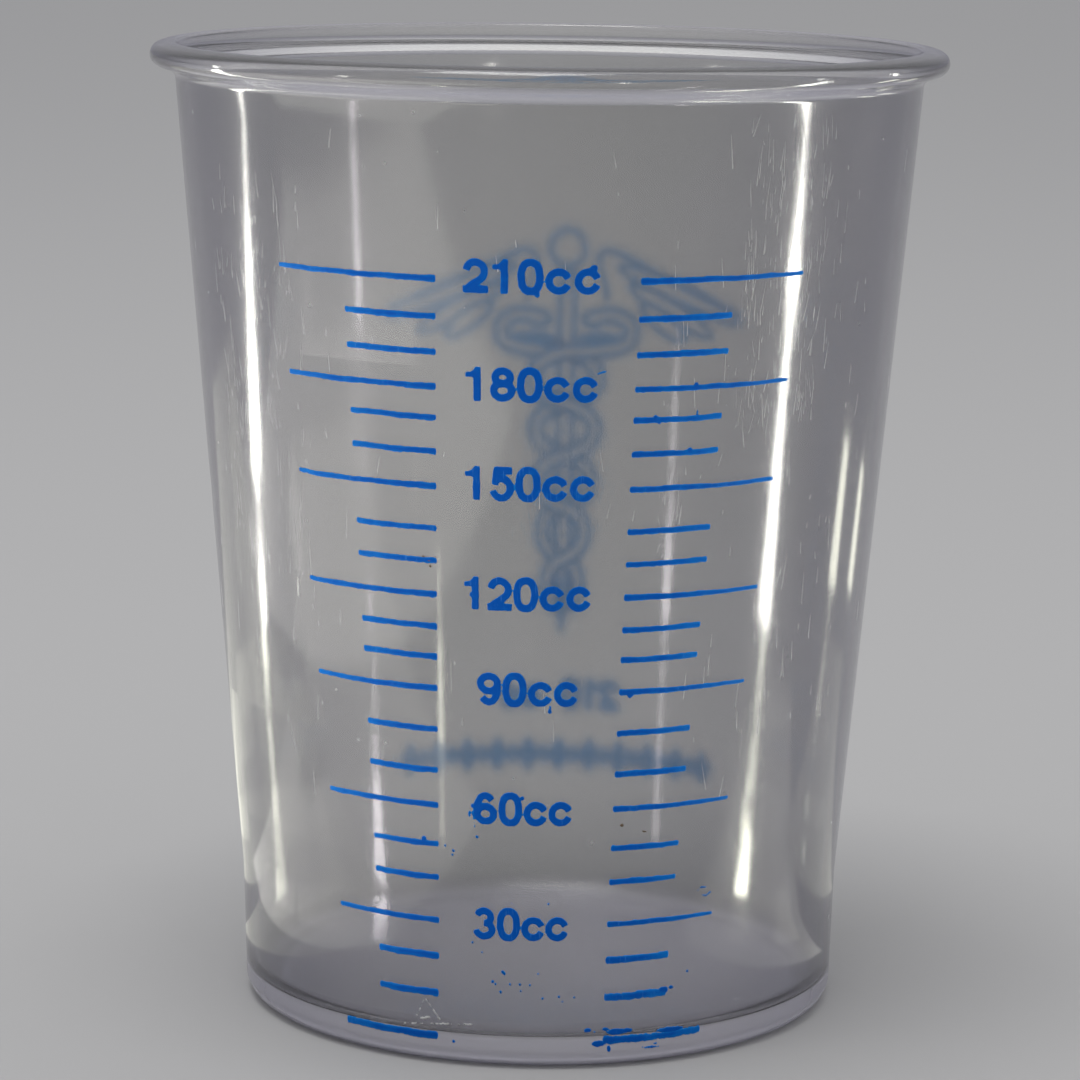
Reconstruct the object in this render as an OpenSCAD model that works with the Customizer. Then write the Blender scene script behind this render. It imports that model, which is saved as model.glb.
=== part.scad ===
// Graduated medicine cup: one moulded clear cup with its printed scale, in millimetres.
// The axis of the cup is Z, the foot stands on z = 0 and the scale faces -Y.

/* [Cup] */
// Height from the foot to the top of the rim
cup_h = 93.5; // [84:0.5:110]
// Outer diameter of the upright band at the foot
foot_d = 58.1; // [54:0.1:62]
// Outer diameter where the upright band ends and the taper starts
band_d = 58.7; // [57:0.1:64]
// Height at which the taper starts
band_h = 12.8; // [8:0.1:16]
// Thickness of the side wall
wall_t = 1.2; // [0.8:0.05:2]
// Thickness of the floor
floor_t = 1.6; // [1:0.1:3]
// Radius of the outer corner at the foot
corner_r = 1.9; // [1.2:0.1:2.1]
// Radius of the inner corner at the floor
inner_corner_r = 2.2; // [1:0.1:4]

/* [Foot] */
// Depth of the recess under the floor, which leaves a ring to stand on
recess_depth = 0.6; // [0.3:0.05:1.2]
// Width of the flat ring that the cup stands on
foot_ring_w = 1.6; // [1:0.1:4]
// Width of the slope from the ring to the recess
foot_slope_w = 0.8; // [0.3:0.1:2]
// Diameter of the moulding gate's mark under the floor
gate_d = 3.2; // [2:0.1:6]
// Height of the gate's mark
gate_h = 0.25; // [0.1:0.05:0.3]

/* [Rim] */
// Outer diameter of the bead at the rim
rim_d = 76.7; // [74:0.1:84]
// How far the bead stands out from the wall at the top of the cup
rim_overhang = 2.15; // [1.6:0.05:2.8]
// Radius of the bead's rounded nose
rim_nose_r = 1.1; // [0.8:0.05:1.4]
// How far the lip's crown stands above the nose
rim_crown_h = 0.15; // [0.05:0.05:0.4]
// Height of the fillet between the wall and the underside of the bead
rim_fillet_h = 1.1; // [0.6:0.1:2]
// How far the inside of the mouth opens out at the lip
lip_flare = 0.7; // [0.2:0.1:1.2]
// Height over which the inside of the mouth opens out
lip_flare_h = 4.2; // [2:0.1:8]

/* [Scale heights] */
// Height of the line at the floor
base_line_z = 2.8; // [2.4:0.1:4]
// Height of the line for 30
line_30_z = 14.1; // [13:0.1:16]
// Distance from the line for 30 up to the line for 60
rise_60 = 11.2; // [9:0.1:13]
// Distance from the line for 60 up to the line for 90
rise_90 = 11.2; // [9:0.1:13]
// Distance from the line for 90 up to the line for 120
rise_120 = 8.9; // [8:0.1:12]
// Distance from the line for 120 up to the line for 150
rise_150 = 10.1; // [8:0.1:12]
// Distance from the line for 150 up to the line for 180
rise_180 = 9.2; // [8:0.1:12]
// Distance from the line for 180 up to the line for 210
rise_210 = 9.8; // [8:0.1:12]

/* [Scale lines] */
// Thickness of a line from the line for 30 upwards
line_w = 0.54; // [0.4:0.02:0.9]
// Thickness of the lines below the line for 30
low_line_w = 0.66; // [0.5:0.02:1.1]
// Angle from the middle of the scale to the inner end of every line
gap_angle = 15.3; // [14:0.1:18]
// Angle from the middle of the scale to the outer end of a long line at the foot
long_angle = 34.6; // [30:0.1:38]
// How much that angle grows for each millimetre of height
long_growth = 0.12; // [0.05:0.005:0.15]
// Angle from the middle of the scale to the outer end of a short line at the foot
short_angle = 27; // [22:0.1:29]
// How much that angle grows for each millimetre of height
short_growth = 0.05; // [0.02:0.005:0.08]

/* [Print] */
// Thickness of the ink on the wall
ink_t = 0.08; // [0.04:0.01:0.2]
// Turn of the front print about the cup's axis
print_turn = -3.2; // [-10:0.1:10]
// Turn of the back print, away from the place opposite the cup's front
back_turn = -3.8; // [-10:0.1:10]
// Lean of the front print, in degrees of turn for each millimetre of height
print_lean = 0.025; // [0:0.005:0.05]

/* [Numerals] */
// Height of a numeral
digit_h = 3.1; // [2.6:0.05:3.6]
// Width of a numeral, measured along the wall at the line for 210
digit_w = 2.3; // [1.9:0.05:2.6]
// Distance from one numeral to the next
digit_pitch = 2.47; // [2.3:0.01:3]
// Height of a letter of the unit
unit_h = 2.35; // [2:0.05:2.8]
// Width of a letter of the unit
unit_w = 2.2; // [1.9:0.05:2.6]
// Distance from one letter of the unit to the next
unit_pitch = 2.62; // [2.5:0.02:3]
// Thickness of the numerals' strokes
stroke_w = 0.64; // [0.4:0.02:0.72]
// How much of the cone's narrowing a lower row makes up for with wider numerals, as a share
row_widening = 0.45; // [0:0.05:1]

/* [Emblem] */
// Height of the middle of the ring at the top of the staff
ring_z = 70.2; // [66:0.1:74]
// Outer diameter of that ring
ring_d = 4.3; // [3:0.1:5]
// Height of the staff's foot
staff_tip_z = 29.5; // [27:0.1:33]
// Width of the staff, drawn in outline
staff_w = 2.1; // [1.4:0.1:2.4]
// Gap between the ring and the staff
staff_gap = 0.3; // [0.2:0.05:0.8]
// Height over which the staff narrows to its point
staff_taper_h = 5; // [3:0.5:7]
// Width of the staff's point
tip_w = 0.24; // [0.2:0.02:0.5]
// Thickness of the emblem's drawn lines
emblem_line_w = 0.5; // [0.35:0.01:0.6]
// Length from the staff to the tip of a wing
wing_reach = 20.8; // [19:0.1:22]
// Distance from the staff's middle to the inner side of a wing
root_reach = 3.5; // [3:0.1:4]
// Distance from the ring's middle down to the foot of that side
root_drop = 5.2; // [4.5:0.1:5.4]
// Distance from the ring's middle down to the tip of a wing's leading edge
tip_drop = 5.9; // [5:0.1:8]
// Width of a feather
feather_w = 2.4; // [2:0.1:2.8]
// Width of a twining band, drawn in outline
band_w = 1.8; // [1.4:0.1:2]
// Widest swing of a twining band to each side of the staff
band_swing = 3.7; // [3:0.1:4.5]
// Distance from the ring's middle down to the bands' highest crossing
crossing_drop = 10.9; // [10:0.1:12]
// Distance from the staff's point up to the bands' lower ends
band_foot_rise = 2.4; // [2:0.1:4]
// Distance from the staff's middle to the widest place of a band's hook
hook_reach = 7.4; // [6.6:0.1:7.6]
// Distance from the highest crossing up to that place
hook_rise = 2.1; // [1.8:0.1:3]
// Distance from the staff's middle to a band's head
head_reach = 3; // [2.7:0.1:4]
// Distance from the highest crossing up to a band's head
head_rise = 3.5; // [3:0.1:4.5]
// Width of a band's head
head_w = 2.6; // [2.2:0.1:2.8]
// Height of a band's head
head_h = 2; // [1.9:0.1:2.2]
// Half turns that a band makes round the staff
band_turns = 5; // [3:1:6]
// Height of the numerals under the emblem
back_numeral_z = 23.1; // [21:0.1:25]
// Height of the ornament under those numerals
ornament_z = 16.6; // [15.2:0.1:18]
// Height of a lozenge of the ornament
lozenge_h = 3.4; // [2:0.1:3.6]
// Width of a lozenge
lozenge_w = 2.7; // [1.6:0.1:2.9]
// Lozenges in the ornament
lozenges = 11; // [5:2:15]
// Distance from one lozenge to the next
lozenge_pitch = 3.9; // [3.6:0.1:4.2]
// Width of the bar between two lozenges
bar_w = 0.5; // [0.4:0.05:0.7]

/* [Hidden] */

CLEAR = [0.82, 0.85, 0.93, 0.45];
INK = [0.02, 0.22, 0.62];

// Steps of a turn of the cup, a quarter turn of a fillet, the bead, a drawn oval, a curve and a band
turn_steps = 180;
fillet_steps = 8;
bead_steps = 12;
oval_steps = 28;
curve_steps = 8;
band_steps = 64;

foot_r = foot_d / 2;
band_r = band_d / 2;
rim_r = rim_d / 2;
mouth_r = rim_r - rim_overhang;
floor_z = recess_depth + floor_t;
taper = (mouth_r - band_r) / (cup_h - band_h);
line_60_z = line_30_z + rise_60;
line_90_z = line_60_z + rise_90;
line_120_z = line_90_z + rise_120;
line_150_z = line_120_z + rise_150;
line_180_z = line_150_z + rise_180;
line_210_z = line_180_z + rise_210;
long_z = [line_30_z, line_60_z, line_90_z, line_120_z, line_150_z, line_180_z, line_210_z];
numeral_r = wall_r(line_210_z);

// Radius of the outer wall at a height
function wall_r(z) = z < band_h
    ? foot_r + (band_r - foot_r) * max(z - corner_r, 0) / (band_h - corner_r)
    : band_r + taper * (z - band_h);

// A point of the inner wall at a height
function inner_point(z) = [wall_r(z) - wall_t, z];

// The lines and rows were set by hand. Places of the short lines between two long ones, as shares of
// the way up, from the floor to the line for 210
short_shares = [[0.37, 0.69], [0.37, 0.66], [0.3, 0.65], [0.34, 0.66], [0.31, 0.61], [0.35, 0.69],
    [0.32, 0.65]];
// How far each row of numerals, from 30 to 210, stands beside the middle of the scale and above its line
row_shift = [-0.2, -0.2, 0, -0.35, -0.35, -0.4, -0.55];
row_lift = [0, 0, 0.25, 0.35, 0.5, 0.4, 0.4];

// How much wider the numerals of a row are than at the line for 210
function stretch(z) = 1 + row_widening * (numeral_r / wall_r(z) - 1);

// Points along an ellipse's arc
function arc(centre, rx, ry, from, to, steps) =
    [for (i = [0:steps]) let (a = from + (to - from) * i / steps) centre + [rx * cos(a), ry * sin(a)]];

// Points round a whole ellipse
function ellipse(centre, rx, ry) = arc(centre, rx, ry, 0, 360 * (1 - 1 / oval_steps), oval_steps - 1);

function reversed(points) = [for (i = [len(points) - 1:-1:0]) points[i]];

function after_first(points) = [for (i = [1:len(points) - 1]) points[i]];

function unit_vector(v) = v / norm(v);

// Direction of a path at one of its points
function heading(points, i) =
    unit_vector(points[min(i + 1, len(points) - 1)] - points[max(i - 1, 0)]);

// A path moved sideways by a distance
function beside(points, distance) =
    [for (i = [0:len(points) - 1]) let (h = heading(points, i)) points[i] + distance * [-h.y, h.x]];

// Outline of a stroke of one width along a path, anticlockwise as the ovals are
function stroke_outline(points, width) =
    concat(beside(points, -width / 2), reversed(beside(points, width / 2)));

// A cubic curve through two ends with two pulls
function curve(a, b, c, d, steps) =
    [for (i = [0:steps]) let (t = i / steps, u = 1 - t)
        u * u * u * a + 3 * u * u * t * b + 3 * u * t * t * c + t * t * t * d];

// A point of a drawing laid round the wall: x is arc at the line for 210, y is height
function wrapped(points, turn, z) =
    [for (p = points) let (a = turn + p.x / numeral_r * 180 / PI)
        [wall_r(z + p.y) * sin(a), z + p.y]];

// Outline of the outer skin of the wall between two heights, as thick as the ink
function skin_heights(low, high) = low < band_h && high > band_h ? [low, band_h, high] : [low, high];

function skin_profile(low, high) = let (zs = skin_heights(low, high))
    concat([for (z = zs) [wall_r(z), z]], [for (z = reversed(zs)) [wall_r(z) + ink_t, z]]);

module skin(low, high) {
    rotate_extrude($fn = turn_steps) polygon(skin_profile(low, high));
}

// Keeps the part of the skin that lies behind a flat drawing, in front of the cup.
// The skin reaches a little past the drawing's lowest and highest points.
skin_margin = 1;

module printed(low, high) {
    intersection() {
        skin(low - skin_margin, high + skin_margin);
        rotate([90, 0, 0]) linear_extrude(rim_r) children();
    }
}

// The cup's profile, from the axis under the floor round the outside to the axis inside
function cup_profile() = let (
        ring_outer = foot_r - corner_r,
        ring_inner = ring_outer - foot_ring_w,
        inner_corner = [foot_r - wall_t - inner_corner_r, floor_z + inner_corner_r])
    concat(
        [[0, recess_depth - gate_h], [gate_d / 2 - gate_h, recess_depth - gate_h]],
        [[gate_d / 2, recess_depth], [ring_inner - foot_slope_w, recess_depth], [ring_inner, 0]],
        arc([ring_outer, corner_r], corner_r, corner_r, -90, 0, fillet_steps),
        [[band_r, band_h]],
        rim_profile(),
        [inner_point(band_h)],
        arc(inner_corner, inner_corner_r, inner_corner_r, 0, -90, fillet_steps),
        [[0, floor_z]]
    );

// The bead: a fillet out of the wall, a round nose, a low crown and the flared lip inside.
// The nose turns by this angle below and above its widest place.
nose_turn = 72;

function rim_profile() = let (
        nose = [rim_r - rim_nose_r, cup_h - rim_crown_h - rim_nose_r],
        bead = arc(nose, rim_nose_r, rim_nose_r, -nose_turn, nose_turn, bead_steps),
        neck_z = nose.y - rim_nose_r - rim_fillet_h,
        neck = [wall_r(neck_z), neck_z],
        fillet_pull = 0.6 * rim_fillet_h,
        lip = [mouth_r - wall_t + lip_flare, cup_h - 2 * rim_crown_h],
        lip_heading = unit_vector([lip_flare, lip_flare_h / 2]),
        crown = [(nose.x + lip.x) / 2, cup_h],
        crown_pull = [crown.x - lip.x, 0] / 2,
        flare_foot = inner_point(cup_h - lip_flare_h))
    concat(
        curve(neck, neck + fillet_pull * [taper, 1],
            bead[0] - fillet_pull * [sin(nose_turn), cos(nose_turn)], bead[0], fillet_steps),
        after_first(bead),
        after_first(curve(bead[bead_steps],
            bead[bead_steps] + crown_pull.x * [-sin(nose_turn), cos(nose_turn)],
            crown + crown_pull, crown, curve_steps)),
        after_first(curve(crown, crown - crown_pull, lip + 2 * rim_crown_h * lip_heading, lip,
            curve_steps)),
        after_first(curve(lip, lip - lip_flare * lip_heading,
            flare_foot + lip_flare_h / 2 * [taper, 1], flare_foot, curve_steps))
    );

module cup_shell() {
    color(CLEAR) rotate_extrude($fn = turn_steps) polygon(cup_profile());
}

// Middle of the front scale at a height
function scale_turn(z) = print_turn + print_lean * z;

function long_reach(z) = long_angle + long_growth * z;

function short_reach(z) = short_angle + short_growth * z;

// One line of ink along the wall, from the gap out to its reach, side is -1 on the left and 1 on the right
module scale_line(z, width, reach, side) {
    turn = scale_turn(z) + (side < 0 ? -reach : gap_angle);
    rotate([0, 0, turn - 90])
        rotate_extrude(angle = reach - gap_angle, $fn = turn_steps)
            polygon(skin_profile(z - width / 2, z + width / 2));
}

module long_lines(side) {
    for (z = long_z) scale_line(z, line_w, long_reach(z), side);
}

module short_lines(side) {
    ends = concat([base_line_z], long_z);
    for (i = [0:len(short_shares) - 1], share = short_shares[i]) {
        z = ends[i] + (ends[i + 1] - ends[i]) * share;
        scale_line(z, i == 0 ? low_line_w : line_w, short_reach(z), side);
    }
}

module left_long_lines() { color(INK) long_lines(-1); }

module left_short_lines() { color(INK) short_lines(-1); }

module right_long_lines() { color(INK) long_lines(1); }

module right_short_lines() { color(INK) short_lines(1); }

module base_lines() {
    color(INK) for (side = [-1, 1])
        scale_line(base_line_z, low_line_w, long_reach(base_line_z), side);
}

// Numerals are drawn in a box of digit_w by digit_h whose lower left corner is the origin.
// A glyph is a list of marks: a loop, a line whose points are the middle of its stroke, or a shape.
// A loop with a power under 1 is squarer than an oval.
function loop(x, y, rx, ry, power = 1) = ["loop", [x, y], rx, ry, power];

function line(points) = ["line", points];

function shape(points) = ["shape", points];

half = stroke_w / 2;
digit_mid = digit_w / 2;
digit_rx = digit_mid - half;

// How far a nought stands over the flat numerals, at its top and at its foot
overshoot = 0.026 * digit_h;
// Distance from the right of its box to the one's stem, and from the left to its flag
stem_inset = 0.3 * digit_w;
flag_inset = 0.1 * digit_w;
flag_t = 0.135 * digit_h;
// How much narrower the upper bowls of three and eight are, on each side
upper_inset = 0.056 * digit_w;

function glyph_0() = [loop(digit_mid, digit_h / 2, digit_rx, digit_h / 2 - half + overshoot, 0.84)];

function glyph_1() = let (
        right = digit_w - stem_inset,
        left = right - stroke_w,
        flag_z = 0.7 * digit_h,
        tip = [flag_inset, flag_z + flag_t])
    [shape(concat([[right, digit_h], [right, 0], [left, 0], [left, flag_z], [flag_inset, flag_z]],
        curve(tip, [left - flag_inset, tip.y], [left, digit_h - flag_t], [left + half / 2, digit_h],
            curve_steps)))];

function glyph_2() = let (
        ry = 0.27 * digit_h,
        top = digit_h - half - ry,
        side = [digit_w - half, top])
    [line(concat(arc([digit_mid, top], digit_rx, ry, 172, 0, 12),
        after_first(curve(side, side - [0, 0.24 * digit_h], [digit_mid, 0.36 * digit_h],
            [1.13 * half, half], curve_steps)))),
     shape([[0, 0], [digit_w, 0], [digit_w, stroke_w], [0, stroke_w]])];

function glyph_3() = let (upper = digit_h / 4 - half / 2, lower = 1.06 * upper)
    [line(arc([digit_mid, digit_h - half - upper], digit_rx - upper_inset, upper, 165, -90, 14)),
     line(arc([digit_mid, half + lower], digit_rx, lower, 90, -170, 16))];

function glyph_5() = let (
        ry = 0.29 * digit_h,
        left = 0.2 * digit_w,
        top = digit_h - half)
    [line([[left, top], [digit_w - half / 2, top]]),
     line([[left + half, top + half / 2], [left + half / 3, 0.46 * digit_h]]),
     line(arc([digit_mid, half + ry - overshoot], digit_rx, ry, 142, -165, 18))];

function glyph_6() = let (ry = 0.228 * digit_h)
    [loop(digit_mid, half + ry, digit_rx, ry),
     line(concat(arc([digit_mid, digit_h / 2], digit_rx, digit_h / 2 - half, 40, 180, 12),
        [[half, half + ry]]))];

function glyph_8() = let (lower = 0.22 * digit_h, upper = 0.185 * digit_h)
    [loop(digit_mid, half + lower, digit_rx, lower),
     loop(digit_mid, digit_h - half - upper, digit_rx - upper_inset, upper)];

// The unit's letter stops short of a full oval at this angle, so its oval is wider than the letter
unit_opening = 20;
unit_rx = unit_w / (1 + cos(unit_opening - 7));

function glyph_c() = [line(arc([unit_rx, unit_h / 2], unit_rx - half, unit_h / 2 - half,
    unit_opening, 360 - unit_opening, 20))];

function digit_marks(value) =
    value == 0 ? glyph_0()
    : value == 1 ? glyph_1()
    : value == 2 ? glyph_2()
    : value == 3 ? glyph_3()
    : value == 5 ? glyph_5()
    : value == 8 ? glyph_8()
    : glyph_6();

function powered(x, power) = sign(x) * pow(abs(x), power);

function loop_points(centre, rx, ry, power) = [for (i = [0:oval_steps - 1]) let (a = 360 * i / oval_steps)
    centre + [rx * powered(cos(a), power), ry * powered(sin(a), power)]];

// Points of a glyph moved to their place in a row, half a turn round for the numeral nine
function laid(points, x, z, wide, turned) = wrapped([for (p = points)
    let (q = turned ? [digit_w, digit_h] - p : p) [x + wide * q.x, q.y]], print_turn, z);

// Every mark is turned into a filled outline and laid round the wall at its place in the row
module glyph(marks, x, z, wide, turned = false) {
    for (m = marks) {
        if (m[0] == "loop") {
            difference() {
                polygon(laid(loop_points(m[1], m[2] + half, m[3] + half, m[4]), x, z, wide, turned));
                polygon(laid(loop_points(m[1], m[2] - half, m[3] - half, m[4]), x, z, wide, turned));
            }
        }
        if (m[0] == "line") polygon(laid(stroke_outline(m[1], stroke_w), x, z, wide, turned));
        if (m[0] == "shape") polygon(laid(m[1], x, z, wide, turned));
    }
}

// A row of numerals ends with the unit's two letters, after a space where it has one
module numeral_row(digits, z, middle_x, wide, space = 0) {
    pitch = wide * digit_pitch;
    count = len(digits);
    unit_x = count * pitch + space;
    start = middle_x - (unit_x + unit_pitch + wide * unit_w) / 2;
    low = z - digit_h / 2;
    printed(low, low + digit_h) {
        for (i = [0:count - 1])
            glyph(digit_marks(digits[i]), start + i * pitch, low, wide, digits[i] == 9);
        for (i = [0, 1]) glyph(glyph_c(), start + unit_x + i * unit_pitch, low, wide);
    }
}

// Arc at the line for 210 that an angle takes up
function arc_of(angle) = angle * PI / 180 * numeral_r;

// The row beside one of the long lines, counted from the line for 30
module front_row(digits, i) {
    numeral_row(digits, long_z[i] + row_lift[i], row_shift[i] + arc_of(print_lean * long_z[i]),
        stretch(long_z[i]));
}

module numeral_210() { color(INK) front_row([2, 1, 0], 6); }

module numeral_180() { color(INK) front_row([1, 8, 0], 5); }

module numeral_150() { color(INK) front_row([1, 5, 0], 4); }

module numeral_120() { color(INK) front_row([1, 2, 0], 3); }

module numeral_90() { color(INK) front_row([9, 0], 2); }

module numeral_60() { color(INK) front_row([6, 0], 1); }

module numeral_30() { color(INK) front_row([3, 0], 0); }

// The back print stands opposite the scale
module on_back() {
    rotate([0, 0, 180]) children();
}

// A flat outline of the emblem laid round the wall, side is -1 on its left and 1 on its right
function placed(points, side) = wrapped([for (p = points) [side * p.x, p.y]], back_turn, 0);

ring_r = ring_d / 2;

module emblem_ring() {
    color(INK) on_back() printed(ring_z - ring_r, ring_z + ring_r) difference() {
        polygon(placed(ellipse([0, ring_z], ring_r, ring_r), 1));
        polygon(placed(ellipse([0, ring_z], ring_r - emblem_line_w, ring_r - emblem_line_w), 1));
    }
}

// Feathers lie side by side under the wing's leading edge, each a long oval ring
feathers = 3;
// Slope of the first feather, its length as a share of the wing's, and its root, each with what the
// next feather adds to it
feather_slope = [-18.5, -7];
feather_share = [0.78, -0.23];
feather_root = [[root_reach + 0.8 * feather_w, ring_z - 0.75 * feather_w], [0.58, -0.8] * feather_w];
edge_steps = 24;

// Outline of a wing, up its inner side, over the round shoulder and along the leading edge to the tip
side_h = root_drop - feather_w / 3;
side_foot = [root_reach + side_h / 5, ring_z - root_drop];
side_top = [root_reach, side_foot.y + side_h];
edge_tip = [0.97 * wing_reach, ring_z - tip_drop];
edge = concat(
    curve(side_foot, side_foot + [0, side_h / 2], side_top - [side_h / 8, side_h / 4], side_top,
        curve_steps),
    after_first(curve(side_top, side_top + side_h * [1, 2] / 4,
        [0.38 * wing_reach, ring_z - 0.46 * tip_drop], edge_tip, edge_steps)));

function step_value(pair, i) = pair[0] + pair[1] * i;

// A long ring's outline from its root along an angle, grown or shrunk all round
function feather_outline(root, angle, length, grow) =
    let (mid = root + length / 2 * [cos(angle), sin(angle)])
    [for (p = ellipse([0, 0], length / 2 + grow, feather_w / 2 + grow))
        mid + [p.x * cos(angle) - p.y * sin(angle), p.x * sin(angle) + p.y * cos(angle)]];

function feather(i, grow) = feather_outline(step_value(feather_root, i), step_value(feather_slope, i),
    wing_reach * step_value(feather_share, i), grow);

module wing(side) {
    lowest = ring_z - root_drop - wing_reach / 3;
    on_back() printed(lowest, ring_z + ring_r) {
        for (i = [0:feathers - 1]) difference() {
            polygon(placed(feather(i, 0), side));
            polygon(placed(feather(i, -emblem_line_w), side));
            for (j = [i + 1:1:feathers - 1]) polygon(placed(feather(j, 0), side));
        }
        polygon(placed(stroke_outline(edge, emblem_line_w), side));
    }
}

module emblem_wing_left() { color(INK) wing(-1); }

module emblem_wing_right() { color(INK) wing(1); }

// A twining band: a wave that narrows towards the staff's foot, then a hook with a round head.
// Its loops are rounder than a sine wave by this share, which makes it cross the staff almost level.
roundness = 0.6;
band_top_z = ring_z - crossing_drop;
band_foot_z = staff_tip_z + band_foot_rise;
foot_swing = 0.42;
hook_side = [hook_reach, band_top_z + hook_rise];
head = [head_reach, band_top_z + head_rise];

// Swing of the wave at a share of its height
function swing(t) = band_swing * (foot_swing + (1 - foot_swing) * sin(90 * t));

function wave_z(t) = band_foot_z + (band_top_z - band_foot_z) * t;

// Share of the wave's height that a share of its turns has reached
function turned_share(t) =
    let (half_turns = band_turns * t, done = floor(half_turns), part = half_turns - done)
    (done + roundness * (1 - cos(180 * part)) / 2 + (1 - roundness) * part) / band_turns;

function band_wave() = [for (i = [0:band_steps]) let (t = i / band_steps)
    [swing(t) * sin(180 * band_turns * (t - 1)), wave_z(turned_share(t))]];

function band_hook() = concat(
    after_first(curve([0, band_top_z], [hook_reach / 2, band_top_z + 0.1 * hook_rise],
        [hook_reach, band_top_z + 0.1 * hook_rise], hook_side, curve_steps)),
    after_first(curve(hook_side, hook_side + [0, 0.75 * hook_rise], head + [0.9 * head_w, 0.5 * head_h],
        head, curve_steps))
);

// Shade under a band's head, on the upper edge of its hook
shade_mid = [0.54 * hook_reach, band_top_z + 0.55 * band_w + emblem_line_w];

// A band and its head, filled out to a width less than their own by twice the inset
module band_shape(side, inset = 0) {
    polygon(placed(stroke_outline(concat(band_wave(), band_hook()), band_w - 2 * inset), side));
    polygon(placed(ellipse(head, head_w / 2 - inset, head_h / 2 - inset), side));
}

module band_outline(side) {
    difference() {
        band_shape(side);
        band_shape(side, emblem_line_w);
        staff_point();
    }
    polygon(placed(ellipse(shade_mid, 0.35 * hook_reach, emblem_line_w), side));
}

// The left band passes over the right one, and both pass over the staff down to its point
module emblem_band_left() {
    color(INK) on_back() printed(band_foot_z - band_w, ring_z) band_outline(-1);
}

module emblem_band_right() {
    color(INK) on_back() printed(band_foot_z - band_w, ring_z) difference() {
        band_outline(1);
        band_shape(-1);
    }
}

// The staff is an outline that narrows to a point at its foot, and opens where the bands cross it
staff_top_z = ring_z - ring_r - staff_gap;
point_top_z = band_foot_z + band_w / 2;
point_w = tip_w + (staff_w - tip_w) * (point_top_z - staff_tip_z) / staff_taper_h;

function staff_outline(width, top, foot) = [
    [-tip_w / 2, foot], [tip_w / 2, foot], [width / 2, foot + staff_taper_h], [width / 2, top],
    [-width / 2, top], [-width / 2, foot + staff_taper_h]];

function rectangle(x, z, w, h) =
    [[x - w / 2, z - h / 2], [x + w / 2, z - h / 2], [x + w / 2, z + h / 2], [x - w / 2, z + h / 2]];

// The solid point lies over the bands' ends
module staff_point() {
    polygon(placed([[-tip_w / 2, staff_tip_z], [tip_w / 2, staff_tip_z], [point_w / 2, point_top_z],
        [-point_w / 2, point_top_z]], 1));
}

module emblem_staff() {
    color(INK) on_back() printed(staff_tip_z, staff_top_z) {
        staff_point();
        difference() {
            polygon(placed(staff_outline(staff_w, staff_top_z, staff_tip_z), 1));
            polygon(placed(staff_outline(staff_w - 2 * emblem_line_w, staff_top_z - emblem_line_w,
                point_top_z + emblem_line_w), 1));
            band_shape(-1);
            band_shape(1);
        }
    }
}

// Numerals are laid from the front print's middle, so the row moves to the back print's
module back_numeral() {
    color(INK) on_back() numeral_row([2, 1, 0], back_numeral_z, arc_of(back_turn - print_turn), 1,
        digit_pitch);
}

// Ornament: a row of lozenges with a short bar between each two
function lozenge(x) = [for (p = [[-1, 0], [0, -1], [1, 0], [0, 1]])
    [x + p.x * lozenge_w / 2, ornament_z + p.y * lozenge_h / 2]];

module back_ornament() {
    color(INK) on_back() printed(ornament_z - lozenge_h / 2, ornament_z + lozenge_h / 2)
        for (i = [0:lozenges - 1]) {
            x = (i - (lozenges - 1) / 2) * lozenge_pitch;
            polygon(placed(lozenge(x), 1));
            if (i > 0)
                polygon(placed(rectangle(x - lozenge_pitch / 2, ornament_z, bar_w, lozenge_h / 2), 1));
        }
}

cup_shell();
left_long_lines();
left_short_lines();
right_long_lines();
right_short_lines();
base_lines();
numeral_210();
numeral_180();
numeral_150();
numeral_120();
numeral_90();
numeral_60();
numeral_30();
emblem_ring();
emblem_staff();
emblem_wing_left();
emblem_wing_right();
emblem_band_left();
emblem_band_right();
back_numeral();
back_ornament();
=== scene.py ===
# %% [markdown]
# # A graduated medicine cup
#
# The object is one thin moulding of clear plastic with a blue scale printed on the outside of its
# wall. Almost all of its looks come from three things: the bead at the rim and the round foot, the
# light that runs down the wall in streaks, and the slightly ragged ink.
#
# The exact CAD model is loaded first. It fixes every size, so each cell below only has to decide
# how a surface looks, not where it is.

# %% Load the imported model
from math import ceil, cos, pi, radians, sin

import bpy
import numpy as np
from mathutils import Matrix, Vector


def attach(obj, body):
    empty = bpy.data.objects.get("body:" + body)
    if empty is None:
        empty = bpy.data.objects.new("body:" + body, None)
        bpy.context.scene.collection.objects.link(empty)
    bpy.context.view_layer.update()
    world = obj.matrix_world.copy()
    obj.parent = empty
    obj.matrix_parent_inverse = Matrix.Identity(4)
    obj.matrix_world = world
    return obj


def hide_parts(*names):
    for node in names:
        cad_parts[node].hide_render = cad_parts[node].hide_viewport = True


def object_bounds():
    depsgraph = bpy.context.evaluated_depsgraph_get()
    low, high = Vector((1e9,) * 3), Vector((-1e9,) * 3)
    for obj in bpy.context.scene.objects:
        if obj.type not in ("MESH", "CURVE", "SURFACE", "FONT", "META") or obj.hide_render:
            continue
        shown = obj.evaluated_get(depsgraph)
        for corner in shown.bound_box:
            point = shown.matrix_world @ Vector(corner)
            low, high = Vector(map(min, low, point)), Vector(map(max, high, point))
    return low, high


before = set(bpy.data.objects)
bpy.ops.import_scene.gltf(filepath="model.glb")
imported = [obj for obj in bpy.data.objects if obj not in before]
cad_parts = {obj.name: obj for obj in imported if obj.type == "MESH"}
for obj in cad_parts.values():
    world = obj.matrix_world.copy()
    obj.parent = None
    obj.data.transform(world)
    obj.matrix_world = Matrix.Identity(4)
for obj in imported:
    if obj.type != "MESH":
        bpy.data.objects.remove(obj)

cad_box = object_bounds()
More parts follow.
